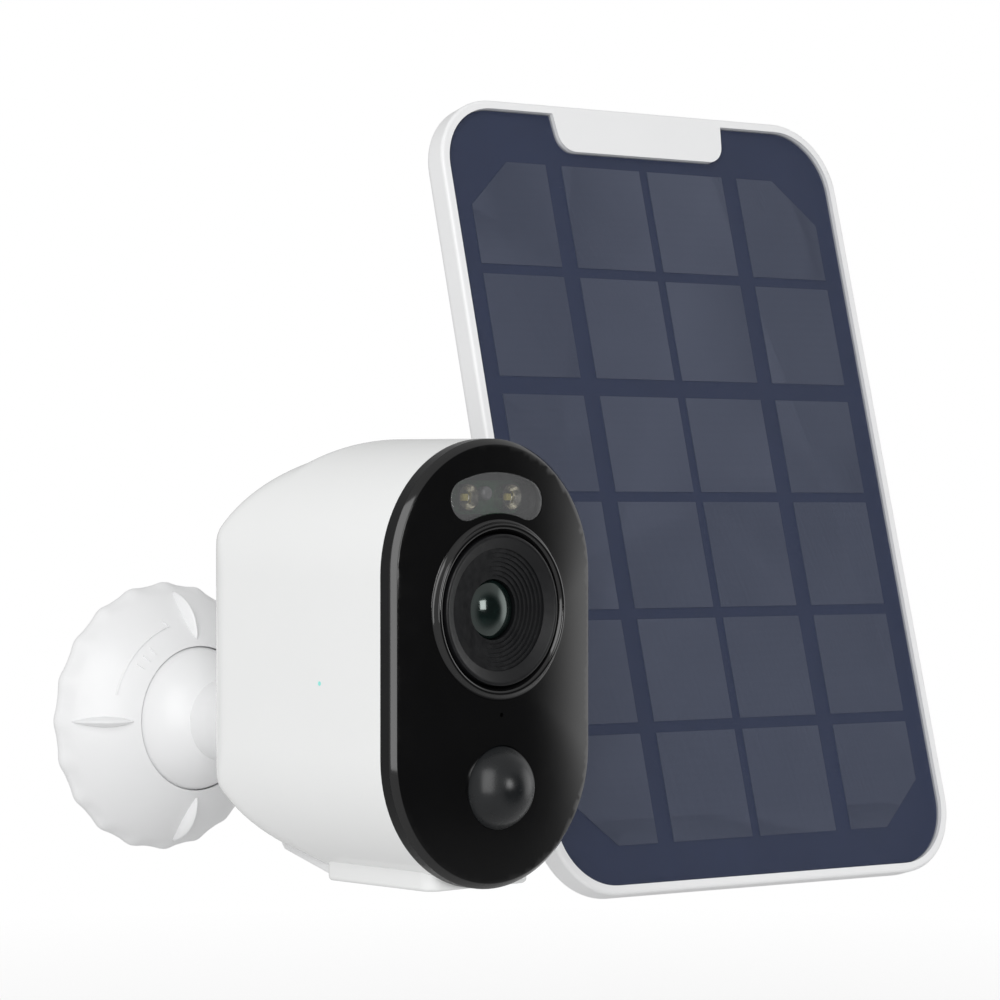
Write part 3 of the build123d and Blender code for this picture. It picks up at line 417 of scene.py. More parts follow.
def bevelled(obj, width, segments):
    """Rounds an object's sharp edges off with a live modifier."""
    bevel = obj.modifiers.new("edge_rounding", "BEVEL")
    bevel.width = width * MM
    bevel.segments = segments
    bevel.limit_method = "ANGLE"
    bevel.angle_limit = SHARP_EDGE
    bevel.use_clamp_overlap = True
    return obj


def cut(obj, cutter):
    """Takes a scratch object's volume out of another."""
    knife = obj.modifiers.new("opening", "BOOLEAN")
    knife.operation = "DIFFERENCE"
    knife.solver = "EXACT"
    knife.object = cutter
    plain(obj)
    bpy.data.objects.remove(cutter)
    return obj


def turned(name, profile, centre, steps, shape=None):
    """A closed ring turned about the line through centre along +Y. The profile is (radius, depth)
    pairs in order round the section; shape(radius, depth, angle) may move each point."""
    points, faces = [], []
    count = len(profile)
    for step in range(steps):
        angle = 2 * pi * step / steps
        for radius, depth in profile:
            r, d = shape(radius, depth, angle) if shape else (radius, depth)
            points.append(Vector(centre) + Vector((r * cos(angle), d, r * sin(angle))))
    for step in range(steps):
        here, there = step * count, (step + 1) % steps * count
        for i in range(count):
            j = (i + 1) % count
            faces.append([here + i, here + j, there + j, there + i])
    return scratch_object(name, closed(mesh_of(points, faces)))


def arc_through(a, b, c, steps):
    """Points along the circle through three points of a section, ends included."""
    (ax, ay), (bx, by), (cx, cy) = a, b, c
    d = 2 * (ax * (by - cy) + bx * (cy - ay) + cx * (ay - by))
    ux = ((ax**2 + ay**2) * (by - cy) + (bx**2 + by**2) * (cy - ay) + (cx**2 + cy**2) * (ay - by)) / d
    uy = ((ax**2 + ay**2) * (cx - bx) + (bx**2 + by**2) * (ax - cx) + (cx**2 + cy**2) * (bx - ax)) / d
    radius = hypot(ax - ux, ay - uy)
    start, mid, end = (atan2(y - uy, x - ux) for x, y in (a, b, c))
    sweep = (end - start) % (2 * pi)
    if (mid - start) % (2 * pi) > sweep:
        sweep -= 2 * pi
    return arc_about(ux, uy, radius, start, sweep, steps)


def stadium(half_w, side_half, arc_steps=56, side_steps=18):
    """Points (x, z) round an upright stadium."""
    loop = []
    for sign in (1, -1):
        for i in range(arc_steps):
            angle = pi * i / arc_steps + (0 if sign > 0 else pi)
            loop.append((half_w * cos(angle), sign * side_half + half_w * sin(angle)))
        for i in range(side_steps):
            z = sign * side_half * (1 - 2 * i / side_steps)
            loop.append((-sign * half_w, z))
    return loop


def arc_about(x, z, radius, start, sweep, steps):
    """Points of an arc about (x, z), from the angle start on over sweep, ends included."""
    turns = [start + sweep * i / steps for i in range(steps + 1)]
    return [(x + radius * cos(turn), z + radius * sin(turn)) for turn in turns]


def circle(x, z, radius, steps):
    """Points round a circle."""
    return arc_about(x, z, radius, 0, 2 * pi, steps)[:-1]


def inside(point, loop):
    """True if a point lies inside a closed loop of points."""
    x, z = point
    odd = False
    for (x1, z1), (x2, z2) in zip(loop, loop[1:] + loop[:1]):
        if (z1 > z) != (z2 > z) and x < (x2 - x1) * (z - z1) / (z2 - z1) + x1:
            odd = not odd
    return odd


NET_ROW = 0.87  # from one row of a net to the next, in spacings
NET_MARGIN = 0.55  # least distance of a net point from an edge, in spacings
NET_INSET = 0.7  # where a net starts, in spacings
NET_SHIFT = 0.5  # from one row's start to the next row's, in spacings
FLAT_JOIN = radians(0.6)


def open_triangles(outline, holes, spacing):
    """Corner points and triangles that fill an outline around its holes, on a net of even triangles."""

    def filled(point):
        return inside(point, outline) and not any(inside(point, hole) for hole in holes)

    flat, edges = [], []
    for loop in (outline, *holes):
        start = len(flat)
        flat += [Vector(p) for p in loop]
        edges += [(start + i, start + (i + 1) % len(loop)) for i in range(len(loop))]
    rim = list(flat)
    left, right = min(p[0] for p in outline), max(p[0] for p in outline)
    low, high = min(p[1] for p in outline), max(p[1] for p in outline)
    row = 0
    z = low + spacing * NET_INSET
    while z < high:
        x = left + spacing * (NET_INSET if row % 2 else NET_INSET - NET_SHIFT)
        while x < right:
            nearest = min((q.x - x) ** 2 + (q.y - z) ** 2 for q in rim)
            if nearest > (NET_MARGIN * spacing) ** 2 and filled((x, z)):
                flat.append(Vector((x, z)))
            x += spacing
        z += spacing * NET_ROW
        row += 1
    corners, _, faces, _, _, _ = delaunay_2d_cdt(flat, edges, [], 0, 1e-6)
    return corners, [f for f in faces if filled(sum((corners[i] for i in f), Vector((0, 0))) / len(f))]


def border_edges(faces):
    """The edges that only one face has, each in that face's direction."""
    used = [edge for face in faces for edge in zip(face, face[1:] + face[:1])]
    known = set(used)
    return [(a, b) for a, b in used if (b, a) not in known]


def pierced_sheet(name, outline, holes, front, back, place, spacing, seam):
    """A plate with an outline and holes. front(x, z) and back(x, z) are its two faces' depths, and
    place(x, depth, z) turns them into a point. seam is a list of (outline, depth) loops that round its
    edge, where depth is a number or a function of (x, z)."""
    corners, kept = open_triangles(outline, holes, spacing)
    count = len(corners)
    points = [place(v.x, front(v.x, v.y), v.y) for v in corners]
    points += [place(v.x, back(v.x, v.y), v.y) for v in corners]
    built = [list(face) for face in kept] + [[i + count for i in reversed(face)] for face in kept]
    for a, b in border_edges(kept):
        chain = [a, b]
        if a < len(outline) and b < len(outline):
            for loop, depth in seam:
                here = len(points)
                for x, z in (loop[a], loop[b]):
                    points.append(place(x, depth(x, z) if callable(depth) else depth, z))
                built.append([chain[1], chain[0], here, here + 1])
                chain = [here, here + 1]
        built.append([chain[1], chain[0], a + count, b + count])
    return scratch_object(name, closed(mesh_of(points, built)))


def rounded_copy(node, width):
    """A CAD node's own shape with its edges softened, standing for the node."""
    bm = bmesh.new()
    bm.from_mesh(frame["nodes"][node].data)
    bmesh.ops.remove_doubles(bm, verts=bm.verts, dist=2 * SAME_PLACE)
    bmesh.ops.dissolve_limit(bm, angle_limit=FLAT_JOIN, verts=bm.verts, edges=bm.edges)
    obj = bevelled(scratch_object(f"{node}_softened", bm), width, 2)
    return finished(plain(obj), node, node)


# ------------------------------------------------------------------ head: shell

SHELL_WALL = 2.2
BACK_R = 33.0
BACK_EDGE_R = 8.0
BACK_BLEND = 6.0
EDGE_BLEND = 1.5
THIN_BLEND = 0.01
BOSS_Z = -HEAD_Z
BOSS_R = 9.6
BOSS_BORE_R = 4.7
BOSS_LENGTH = 11.0
BOSS_ROUNDING = 0.6
BOSS_LAP = 0.4


def soft_min(a, b, blend):
    """The smaller of two lengths, rounded off over blend where they are nearly equal."""
    near = max(blend - abs(a - b), 0) / blend
    return min(a, b) - near * near * blend / 4


def shell_ring(depth):
    """The shell's outline at a depth: the head's own, drawn in all round towards the back."""

    def drawn_in(radius):
        into = max(0.0, (depth - (SHELL_DEPTH - radius)) / radius)
        return radius * (1 - sqrt(max(0.0, 1 - into * into)))

    high = HEAD_HALF_H - drawn_in(BACK_R)
    wide = HEAD_HALF_W - drawn_in(BACK_EDGE_R)
    ring = []
    for x, z in stadium(HEAD_HALF_W, SIDE_HALF):
        flat_x = soft_min(abs(x), wide, max(THIN_BLEND, min(EDGE_BLEND, HEAD_HALF_W - wide)))
        flat_z = soft_min(abs(z), high, max(THIN_BLEND, min(BACK_BLEND, 2 * (HEAD_HALF_H - high))))
        ring.append(on_head(flat_x if x > 0 else -flat_x, depth, flat_z if z > 0 else -flat_z))
    return ring


BAY_HALF = 11.0
BAY_FRONT = 8.4
BAY_BACK = 30.6
GRILLE_DEPTH = middle("speaker").y - RIM_Y
GRILLE_Z = middle("speaker").z - HEAD_Z
GRILLE_W = 15.0
GRILLE_H = 9.6
GRILLE_HOLE_R = 0.7
GRILLE_PITCH = 2.6
GRILLE_T = 1.4
GRILLE_LAP = 0.3
BAY_MARGIN = 0.5
STRAIGHT_RINGS = 5
BACK_RINGS = 40


def cutter_box(name, centre, size):
    """A scratch box, given by its centre and its size."""
    bm = bmesh.new()
    bmesh.ops.create_cube(bm, size=1)
    bmesh.ops.scale(bm, vec=Vector(size) * MM, verts=bm.verts)
    bmesh.ops.translate(bm, vec=Vector(centre) * MM, verts=bm.verts)
    return scratch_object(name, bm)


def build_shell():
    """The white shell: straight sides, a rounded back, an even wall, and its three openings."""
    start = SHELL_DEPTH - BACK_R
    depths = [SHELL_FRONT + (start - SHELL_FRONT) * i / STRAIGHT_RINGS for i in range(STRAIGHT_RINGS)]
    depths += [start + BACK_R * sin(pi / 2 * i / BACK_RINGS) for i in range(BACK_RINGS + 1)]
    rings = [shell_ring(depth) for depth in depths]
    count = len(rings[0])
    points = [p for ring in rings for p in ring]
    faces = []
    for level in range(len(rings) - 1):
        for i in range(count):
            j = (i + 1) % count
            here, there = level * count, (level + 1) * count
            faces.append([here + i, here + j, there + j, there + i])
    points.append(on_head(0, SHELL_DEPTH, 0))
    last = (len(rings) - 1) * count
    faces += [[last + i, last + (i + 1) % count, len(points) - 1] for i in range(count)]
    shell = scratch_object("rear_shell_moulding", closed(mesh_of(points, faces)))
    wall = shell.modifiers.new("wall", "SOLIDIFY")
    wall.thickness = SHELL_WALL * MM
    wall.offset = -1
    plain(shell)
    front, back, hole = SHELL_DEPTH - 12, SHELL_DEPTH + 4, BOSS_R - BOSS_LAP
    section = [(0, front), (0, back), (hole, back), (hole, front)]
    cut(shell, turned("boss_cutter", section, on_head(0, 0, BOSS_Z), steps=64))
    size = (2 * (BAY_HALF + BAY_MARGIN), BAY_BACK - BAY_FRONT + 2 * BAY_MARGIN, 14)
    cut(shell, cutter_box("bay_cutter", on_head(0, (BAY_FRONT + BAY_BACK) / 2, -HEAD_HALF_H), size))
    size = (9, GRILLE_W - 2 * GRILLE_LAP, GRILLE_H - 2 * GRILLE_LAP)
    return cut(shell, cutter_box("grille_cutter", on_head(HEAD_HALF_W, GRILLE_DEPTH, GRILLE_Z), size))


finished(build_shell(), "rear_shell", "rear_shell", smooth=radians(28))


def build_boss():
    """The round boss in the shell's back that holds the threaded insert."""
    low = SHELL_DEPTH - BOSS_LENGTH
    profile = [(BOSS_BORE_R, low), (BOSS_BORE_R, SHELL_DEPTH - 0.3), (BOSS_BORE_R + 0.3, SHELL_DEPTH)]
    profile += [(BOSS_R - BOSS_ROUNDING, SHELL_DEPTH), (BOSS_R - 0.2, SHELL_DEPTH - 0.15)]
    profile += [(BOSS_R, SHELL_DEPTH - BOSS_ROUNDING), (BOSS_R, low)]
    return turned("rear_boss", profile, on_head(0, 0, BOSS_Z), steps=96)


finished(build_boss(), "rear_shell")


def rounded_rectangle(x, z, width, height, radius, steps=6, low_radius=None):
    """Points round a rectangle with rounded corners; the lower two may have a radius of their own."""
    loop = []
    for quarter, (sx, sz) in enumerate(((1, 1), (-1, 1), (-1, -1), (1, -1))):
        r = low_radius if low_radius and sz < 0 else radius
        corner_x, corner_z = x + sx * (width / 2 - r), z + sz * (height / 2 - r)
        loop += arc_about(corner_x, corner_z, r, pi / 2 * quarter, pi / 2, steps)
    return loop


def build_grille():
    """The speaker's grille, a pierced plate let into the shell's right wall."""
    places = [((i - 2) * GRILLE_PITCH, (j - 1) * GRILLE_PITCH) for i in range(5) for j in range(3)]
    holes = [circle(u, v, GRILLE_HOLE_R, 20) for u, v in places]
    outline = rounded_rectangle(0, 0, GRILLE_W - 0.5, GRILLE_H - 0.5, 1.6)
    edge = rounded_rectangle(0, 0, GRILLE_W, GRILLE_H, 1.85)

    def place(u, depth, v):
        return on_head(HEAD_HALF_W - depth, GRILLE_DEPTH + u, GRILLE_Z + v)

    return pierced_sheet("speaker_grille", outline, holes, lambda u, v: 0.0, lambda u, v: GRILLE_T,
                         place, spacing=1.3, seam=[(edge, 0.15), (edge, GRILLE_T)])


finished(build_grille(), "rear_shell", "rear_shell")


PAD_HALF = 14.5
PAD_BACK = 37.0
PAD_T = 4.6
PAD_BACK_R = 1.8
PAD_FRONT_R = 3.4
PAD_ROUNDING = 0.9
PAD_ROUNDING_STEPS = 4


def build_port_pad():
    """The flat pad under the head that frames the port cover."""
    low = -HEAD_HALF_H
    centre = (SHELL_FRONT + PAD_BACK) / 2
    length = PAD_BACK - SHELL_FRONT

    def loop(inset):
        return rounded_rectangle(0, centre, 2 * (PAD_HALF - inset), length - 2 * inset,
                                 PAD_BACK_R - inset, 6, PAD_FRONT_R - inset)

    opening = rounded_rectangle(0, (BAY_FRONT + BAY_BACK) / 2, 2 * BAY_HALF, BAY_BACK - BAY_FRONT, 2.0, 6)

    def place(x, level, depth):
        return on_head(x, depth, level)

    seam = []
    for i in range(1, PAD_ROUNDING_STEPS + 1):
        turn = pi / 2 * i / PAD_ROUNDING_STEPS
        seam.append((loop(PAD_ROUNDING * (1 - sin(turn))), low + PAD_ROUNDING * (1 - cos(turn))))
    seam.append((loop(0), low + PAD_T))
    return pierced_sheet("port_pad", loop(PAD_ROUNDING), [opening], lambda x, d: low,
                         lambda x, d: low + PAD_T, place, spacing=2.5, seam=seam)


finished(build_port_pad(), "rear_shell", "rear_shell")


STRAP_HALF = 12.9
STRAP_OUTER = [(36.6, -45.7), (52.6, -41.2), (53.9, -39.5), (51.4, -37.2)]
STRAP_FRONT = STRAP_OUTER[0][0]
STRAP_BACK = 51.0
STRAP_SUNK = 2.1
STRAP_STEPS = 8


def build_port_strap():
    """The soft strap that runs from the pad up the shell's back, let into the shell's wall."""
    outline = list(STRAP_OUTER)
    for i in range(STRAP_STEPS + 1):
        depth = STRAP_BACK + (STRAP_FRONT - STRAP_BACK) * i / STRAP_STEPS
        into = (depth - (SHELL_DEPTH - BACK_R)) / BACK_R
        outline.append((depth, STRAP_SUNK - HEAD_HALF_H + BACK_R * (1 - sqrt(1 - into * into))))
    points = [on_head(side * STRAP_HALF, depth, z) for side in (-1, 1) for depth, z in outline]
    count = len(outline)
    faces = [list(range(count)), list(range(2 * count - 1, count - 1, -1))]
    faces += [[i, (i + 1) % count, count + (i + 1) % count, count + i] for i in range(count)]
    strap = bevelled(scratch_object("port_strap_soft", closed(mesh_of(points, faces))), 0.45, 3)
    return plain(strap)


finished(build_port_strap(), "port_strap", "port_strap")

# ------------------------------------------------------------------ head: face

FACE_HALF_W = HEAD_HALF_W - FACE_CHAMFER
WINDOW_ARC_R = 24.15
WINDOW_ARC_HALF = radians(20.9)
WINDOW_HEIGHT = 8.5
WINDOW_BACK = 1.25
RIM_CREST = (17.25, -2.55)
RIM_BACK = 1.3
FLARE_STEPS = 8


def face_share(x, z):
    """How far out a point of the face lies: 0 in the middle, 1 on the rim."""
    half, side = FACE_HALF_W, SIDE_HALF
    x, z = abs(x), abs(z)
    if z * half <= side * x:
        return x / half
    square = half * half - side * side
    return (-side * z + sqrt(side * side * z * z + square * (x * x + z * z))) / square


def face_depth(x, z):
    """Depth of the crowned face at a point; it is negative in front of the rim."""
    return -FACE_CROWN * (1 - min(1.0, face_share(x, z)) ** 2)


def window_loop(grow):
    """The outline of the curved lamp window, as an arc with round ends about the lens."""
    half = WINDOW_HEIGHT / 2 + grow
    right, left = pi / 2 - WINDOW_ARC_HALF, pi / 2 + WINDOW_ARC_HALF

    def round_end(angle, start):
        x, z = WINDOW_ARC_R * cos(angle), LENS_Z + WINDOW_ARC_R * sin(angle)
        return arc_about(x, z, half, start, pi, 16)[1:-1]

    outer = arc_about(0, LENS_Z, WINDOW_ARC_R + half, right, left - right, 40)
    inner = arc_about(0, LENS_Z, WINDOW_ARC_R - half, left, right - left, 40)
    return outer + round_end(left, left) + inner + round_end(right, right + pi)


def build_face_plate():
    """The crowned black face with its chamfered edge and its openings."""

    def ring(grow):
        return stadium(FACE_HALF_W + grow, SIDE_HALF)

    holes = [circle(0, LENS_Z, LENS_RIM_R, 120), circle(0, PIR_Z, PIR_R + RUN_GAP, 72),
             circle(0, MIC_Z, MIC_HOLE_R, 20), window_loop(RUN_GAP)]
    edge = [(ring(0.10), 0.03), (ring(0.18), 0.09), (ring(1.17), 1.08), (ring(FACE_CHAMFER), FACE_CHAMFER)]
    return pierced_sheet("face_plate_crowned", ring(0), holes, face_depth, lambda x, z: FACE_CHAMFER,
                         on_head, spacing=1.1, seam=edge)


def build_lens_rim():
    """The raised ring round the lens, flaring down into the crowned face."""
    profile = [(BARREL_R + RUN_GAP, RIM_BACK), (BARREL_R + RUN_GAP, -0.6), (16.45, -1.95)]
    profile += arc_through((16.6, -2.12), RIM_CREST, (17.75, -2.38), 8)
    flare_r, flare_top = profile[-1]
    for i in range(1, FLARE_STEPS + 1):
        share = i / FLARE_STEPS
        profile.append((flare_r + (LENS_RIM_R - flare_r) * share, flare_top * (1 - share) ** 2))
    profile.append((LENS_RIM_R - RUN_GAP, RIM_BACK))

    def follow_face(radius, depth, angle):
        if radius <= flare_r or depth > 1:
            return radius, depth
        level = face_depth(LENS_RIM_R * cos(angle), LENS_Z + LENS_RIM_R * sin(angle))
        return min(radius, LENS_RIM_R - RUN_GAP), level + (flare_top - level) * max(0.0, depth / flare_top)

    return turned("lens_rim_flared", profile, on_head(0, 0, LENS_Z), steps=160, shape=follow_face)


def build_lamp_window():
    """The smoked window, following the crown of the face."""

    def lowered(drop):
        return lambda x, z: face_depth(x, z) + drop

    edge = [(window_loop(-0.12), lowered(0.05)), (window_loop(-0.03), lowered(0.15)),
            (window_loop(0), lowered(0.35)), (window_loop(0), WINDOW_BACK)]
    return pierced_sheet("lamp_window_smoked", window_loop(-0.35), [], face_depth,
                         lambda x, z: WINDOW_BACK, on_head, spacing=0.8, seam=edge)


BARREL_STEPS = 7
BARREL_STEP_R = 12.7
BARREL_TUBE_R = 9.4
BARREL_FRONT = -2.4
BARREL_BACK = BARREL_FRONT + span("lens_barrel").y
BARREL_SEAT = 2.1
STEP_FRONT = -0.95
STEP_RISE = 0.26
STEP_LIP = 0.03
GLASS_GAP = 0.06


def build_lens_barrel():
    """The barrel's flared mouth with its fine steps down to the glass."""
    step_width = (BARREL_STEP_R - GLASS_R - 0.1) / BARREL_STEPS
    profile = [(BARREL_R - 0.75, BARREL_FRONT), (BARREL_R - 0.95, BARREL_FRONT + 0.1)]
    profile.append((BARREL_STEP_R, STEP_FRONT - 0.3))
    for step in range(BARREL_STEPS):
        radius, depth = BARREL_STEP_R - step_width * step, STEP_FRONT + STEP_RISE * step
        profile += [(radius, depth), (radius - step_width + GLASS_GAP, depth - STEP_LIP)]
    profile += [(GLASS_R + GLASS_GAP, BARREL_BACK), (BARREL_TUBE_R, BARREL_BACK)]
    profile += [(BARREL_TUBE_R, BARREL_SEAT), (BARREL_R, BARREL_SEAT), (BARREL_R, BARREL_FRONT + 0.3)]
    profile += [(BARREL_R - 0.1, BARREL_FRONT + 0.1), (BARREL_R - 0.35, BARREL_FRONT)]
    return turned("lens_barrel_stepped", profile, on_head(0, 0, LENS_Z), steps=144)


GLASS_EDGE = 1.5
GLASS_TOP = -0.35
GLASS_BACK = 3.2


def build_front_lens():
    """The domed front glass."""
    dome = arc_through((GLASS_R, GLASS_EDGE), (GLASS_R * 0.55, 0.1), (0, GLASS_TOP), 16)
    profile = [*dome, (0, GLASS_BACK), (GLASS_R, GLASS_BACK)]
    return turned("front_lens_domed", profile, on_head(0, 0, LENS_Z), steps=96)


finished(build_lens_barrel(), "lens_barrel", "lens_barrel", smooth=radians(40))
finished(build_front_lens(), "front_lens", "front_lens", smooth=radians(60))
finished(build_face_plate(), "face_plate", "face_plate", smooth=radians(40))
finished(build_lens_rim(), "lens_rim", "lens_rim", smooth=radians(50))
finished(build_lamp_window(), "lamp_window", "lamp_window", smooth=radians(50))

EDGE_WIDTHS = {
    "port_cover": 0.3,
    "charging_socket": 0.15,
    "card_socket": 0.15,
    "junction_box": 0.8,
    "battery_holder": 0.3,
    "shield_can": 0.25,
}
for node, width in EDGE_WIDTHS.items():
    rounded_copy(node, width)

# ------------------------------------------------------------------ ball brackets

SCALLOPS = 20
SCALLOP_DEPTH = 0.6
SCALLOP_START = 27.8
RING_R = span("camera_clamp_ring").x / 2
MOUTH = (16.36, -23.0)
RING_MID = (24.2, -17.6)
RING_EDGE = (RING_R, -10.4)
RING_FRONT = arc_through(MOUTH, RING_MID, RING_EDGE, 26)
RING_LIP = [(MOUTH[0] - 0.15, MOUTH[1] + 0.28), (MOUTH[0] - 0.06, MOUTH[1] + 0.07)]
RING_RIM = [(RING_R, -9.7), (RING_R - 0.14, -9.2), (RING_R - 0.5, -8.8), (29.2, -8.6)]
SKIRT_INSIDE = (28.4, -8.5)
RING_COLLAR = [(22.3, -15.2), (22.3, -6.2), (20.25, -6.2), (20.25, -15.2)]
RING_SEAT = [(18.6, -15.2), (18.6, -20.9), (16.55, -20.9)]


def scalloped(radius, depth, angle):
    """Draws the ring's rim in between its twenty bumps."""
    if (radius, depth) == SKIRT_INSIDE:
        return radius, depth
    share = max(0.0, min(1.0, (radius - SCALLOP_START) / (RING_R - SCALLOP_START)))
    fade = share * share * (3 - 2 * share)
    bump = 0.5 + 0.5 * cos(SCALLOPS * angle)
    return radius - SCALLOP_DEPTH * fade * (1 - bump**1.6), depth


def build_clamp_ring(unit, centre):
    """The ring that clamps the ball: a scalloped skirt, a threaded collar and a seat for the liner."""
    profile = [*RING_LIP, *RING_FRONT, *RING_RIM, SKIRT_INSIDE, *RING_COLLAR, *RING_SEAT]
    ring = turned(f"{unit}_clamp_ring_scalloped", profile, centre, steps=480, shape=scalloped)
    node = f"{unit}_clamp_ring"
    return finished(ring, node, node, smooth=radians(34))


def ring_surface(radius):
    """The y of the ring's front at a radius."""
    for (r1, y1), (r2, y2) in zip(RING_FRONT, RING_FRONT[1:]):
        if r1 <= radius <= r2:
            return y1 + (y2 - y1) * (radius - r1) / (r2 - r1)
    return RING_FRONT[-1][1]


GRIP_COUNT = 4
GRIP_ROWS = 22
GRIP_COLS = 12
GRIP_START = 17.7
GRIP_END = 28.3
GRIP_HALF_W = 1.35
GRIP_HEIGHT = 2.3
GRIP_SUNK = 0.6
SLOPE_STEP = 0.05


def grip_mesh():
    """One raised spindle on the ring's front, pointing along +X from the ring's axis."""
    points, faces = [], []
    for i in range(GRIP_ROWS + 1):
        share = i / GRIP_ROWS
        radius = GRIP_START + (GRIP_END - GRIP_START) * share
        y = ring_surface(radius)
        out = Vector((ring_surface(radius + SLOPE_STEP) - y, -SLOPE_STEP, 0)).normalized()
        swell = sin(pi * share) ** 0.75
        for j in range(GRIP_COLS + 1):
            side = 2 * j / GRIP_COLS - 1
            lift = GRIP_HEIGHT * swell * (1 - abs(side) ** 1.7)
            base = Vector((radius, y, side * GRIP_HALF_W * swell))
            points.append(base + out * (lift - (GRIP_SUNK if j in (0, GRIP_COLS) else 0)))
    for i in range(GRIP_ROWS):
        a = i * (GRIP_COLS + 1)
        b = a + GRIP_COLS + 1
        faces += [[a + j, a + j + 1, b + j + 1, b + j] for j in range(GRIP_COLS)]
        faces.append([a, b, b + GRIP_COLS, a + GRIP_COLS])
    return closed(mesh_of(points, faces))


def repeat_tree():
    """Geometry Nodes that repeat a mesh round the Y axis and then move the set to its centre."""
    tree = bpy.data.node_groups.new("repeat_round_axis", "GeometryNodeTree")
    inputs = {"Geometry": "Geometry", "Count": "Int", "Centre": "Vector", "Material": "Material"}
    for name, kind in inputs.items():
        tree.interface.new_socket(name, in_out="INPUT", socket_type=f"NodeSocket{kind}")
    tree.interface.new_socket("Geometry", in_out="OUTPUT", socket_type="NodeSocketGeometry")
    nodes, links = tree.nodes, tree.links
    given = nodes.new("NodeGroupInput")
    points = nodes.new("GeometryNodePoints")
    links.new(given.outputs["Count"], points.inputs["Count"])
    index = nodes.new("GeometryNodeInputIndex")
    turn = nodes.new("ShaderNodeMath")
    turn.operation = "DIVIDE"
    links.new(index.outputs["Index"], turn.inputs[0])
    links.new(given.outputs["Count"], turn.inputs[1])
    angle = nodes.new("ShaderNodeMath")
    angle.operation = "MULTIPLY"
    angle.inputs[1].default_value = 2 * pi
    links.new(turn.outputs["Value"], angle.inputs[0])
    rotation = nodes.new("ShaderNodeCombineXYZ")
    links.new(angle.outputs["Value"], rotation.inputs["Y"])
    copies = nodes.new("GeometryNodeInstanceOnPoints")
    links.new(points.outputs[0], copies.inputs["Points"])
    links.new(given.outputs["Geometry"], copies.inputs["Instance"])
    links.new(rotation.outputs["Vector"], copies.inputs["Rotation"])
    real = nodes.new("GeometryNodeRealizeInstances")
    links.new(copies.outputs["Instances"], real.inputs["Geometry"])
    move = nodes.new("GeometryNodeTransform")
    links.new(real.outputs["Geometry"], move.inputs["Geometry"])
    links.new(given.outputs["Centre"], move.inputs["Translation"])
    paint = nodes.new("GeometryNodeSetMaterial")
    links.new(move.outputs["Geometry"], paint.inputs["Geometry"])
    links.new(given.outputs["Material"], paint.inputs["Material"])
    links.new(paint.outputs["Geometry"], nodes.new("NodeGroupOutput").inputs["Geometry"])
    return tree


REPEAT = repeat_tree()


def repeated(name, bm, count, centre, like):
    """count copies of a mesh round a line along Y through centre, as one plain piece."""
    obj = scratch_object(name, bm)
    modifier = obj.modifiers.new("repeat", "NODES")
    modifier.node_group = REPEAT
    sockets = {item.name: item.identifier for item in REPEAT.interface.items_tree if item.in_out == "INPUT"}
    modifier[sockets["Count"]] = count
    modifier[sockets["Centre"]] = [c * MM for c in centre]
    modifier[sockets["Material"]] = MATERIALS[SLOTS[like]]
    plain(obj)
    return finished(obj, like, smooth=radians(50))


def ring_point(radius, angle, lift):
    """A point over the ring's front, seen from the front with the angle from +X."""
    return Vector((radius * cos(angle), ring_surface(radius) - lift, radius * sin(angle)))


MARK_R = 21.7
MARK_START = 106
MARK_END = 164
MARK_HALF_W = 0.2
TICK_END = (23.2, 108.2)
BAR_ANGLES = (127, 134, 141)
BAR_INNER = 18.6
BAR_OUTER = 20.3
BAR_HALF_W = 0.28
RIDGE = ((-1, -0.3), (-0.5, 0.32), (0.5, 0.32), (1, -0.3))  # half widths across, and lift


def ring_path(start, end, steps):
    """Even (radius, radians) pairs between two pairs of radius and degrees."""
    path = []
    for i in range(steps + 1):
        radius, degrees = (a + (b - a) * i / steps for a, b in zip(start, end))
        path.append((radius, radians(degrees)))
    return path


def build_turn_mark(unit, centre):
    """A thin raised arc with an end tick and three short bars, which shows the way the ring turns."""
    points, faces = [], []

    def ridge(path, half):
        """A low ridge along a path of (radius, angle) pairs."""
        start, count = len(points), len(path)
        for k, (radius, angle) in enumerate(path):
            before, after = path[max(0, k - 1)], path[min(count - 1, k + 1)]
            along = Vector((after[0] - before[0], radius * (after[1] - before[1]))).normalized()
            for side, lift in RIDGE:
                r = radius + along.y * half * side
                a = angle - along.x * half * side / radius
                points.append(ring_point(r, a, lift) + Vector(centre))
        for k in range(count - 1):
            here, there = start + 4 * k, start + 4 * (k + 1)
            for m in range(4):
                n = (m + 1) % 4
                faces.append([here + m, here + n, there + n, there + m])
        faces.append([start + m for m in range(4)])
        faces.append([start + 4 * (count - 1) + m for m in (3, 2, 1, 0)])

    ridge(ring_path((MARK_R, MARK_START), (MARK_R, MARK_END), 30), MARK_HALF_W)
    ridge(ring_path((MARK_R, MARK_START), TICK_END, 3), MARK_HALF_W)
    for angle in BAR_ANGLES:
        ridge(ring_path((BAR_INNER, angle), (BAR_OUTER, angle), 3), BAR_HALF_W)
    mark = scratch_object(f"{unit}_ring_turn_mark", closed(mesh_of(points, faces)))
    return finished(mark, f"{unit}_clamp_ring", smooth=radians(50))


for unit in ("camera", "panel"):
    axis_point = middle(f"{unit}_clamp_ring")
    ring_centre = (axis_point.x, 0, axis_point.z)
    build_clamp_ring(unit, ring_centre)
    repeated(f"{unit}_ring_grips", grip_mesh(), GRIP_COUNT, ring_centre, f"{unit}_clamp_ring")
    build_turn_mark(unit, ring_centre)

# ------------------------------------------------------------------ camera, light and floor

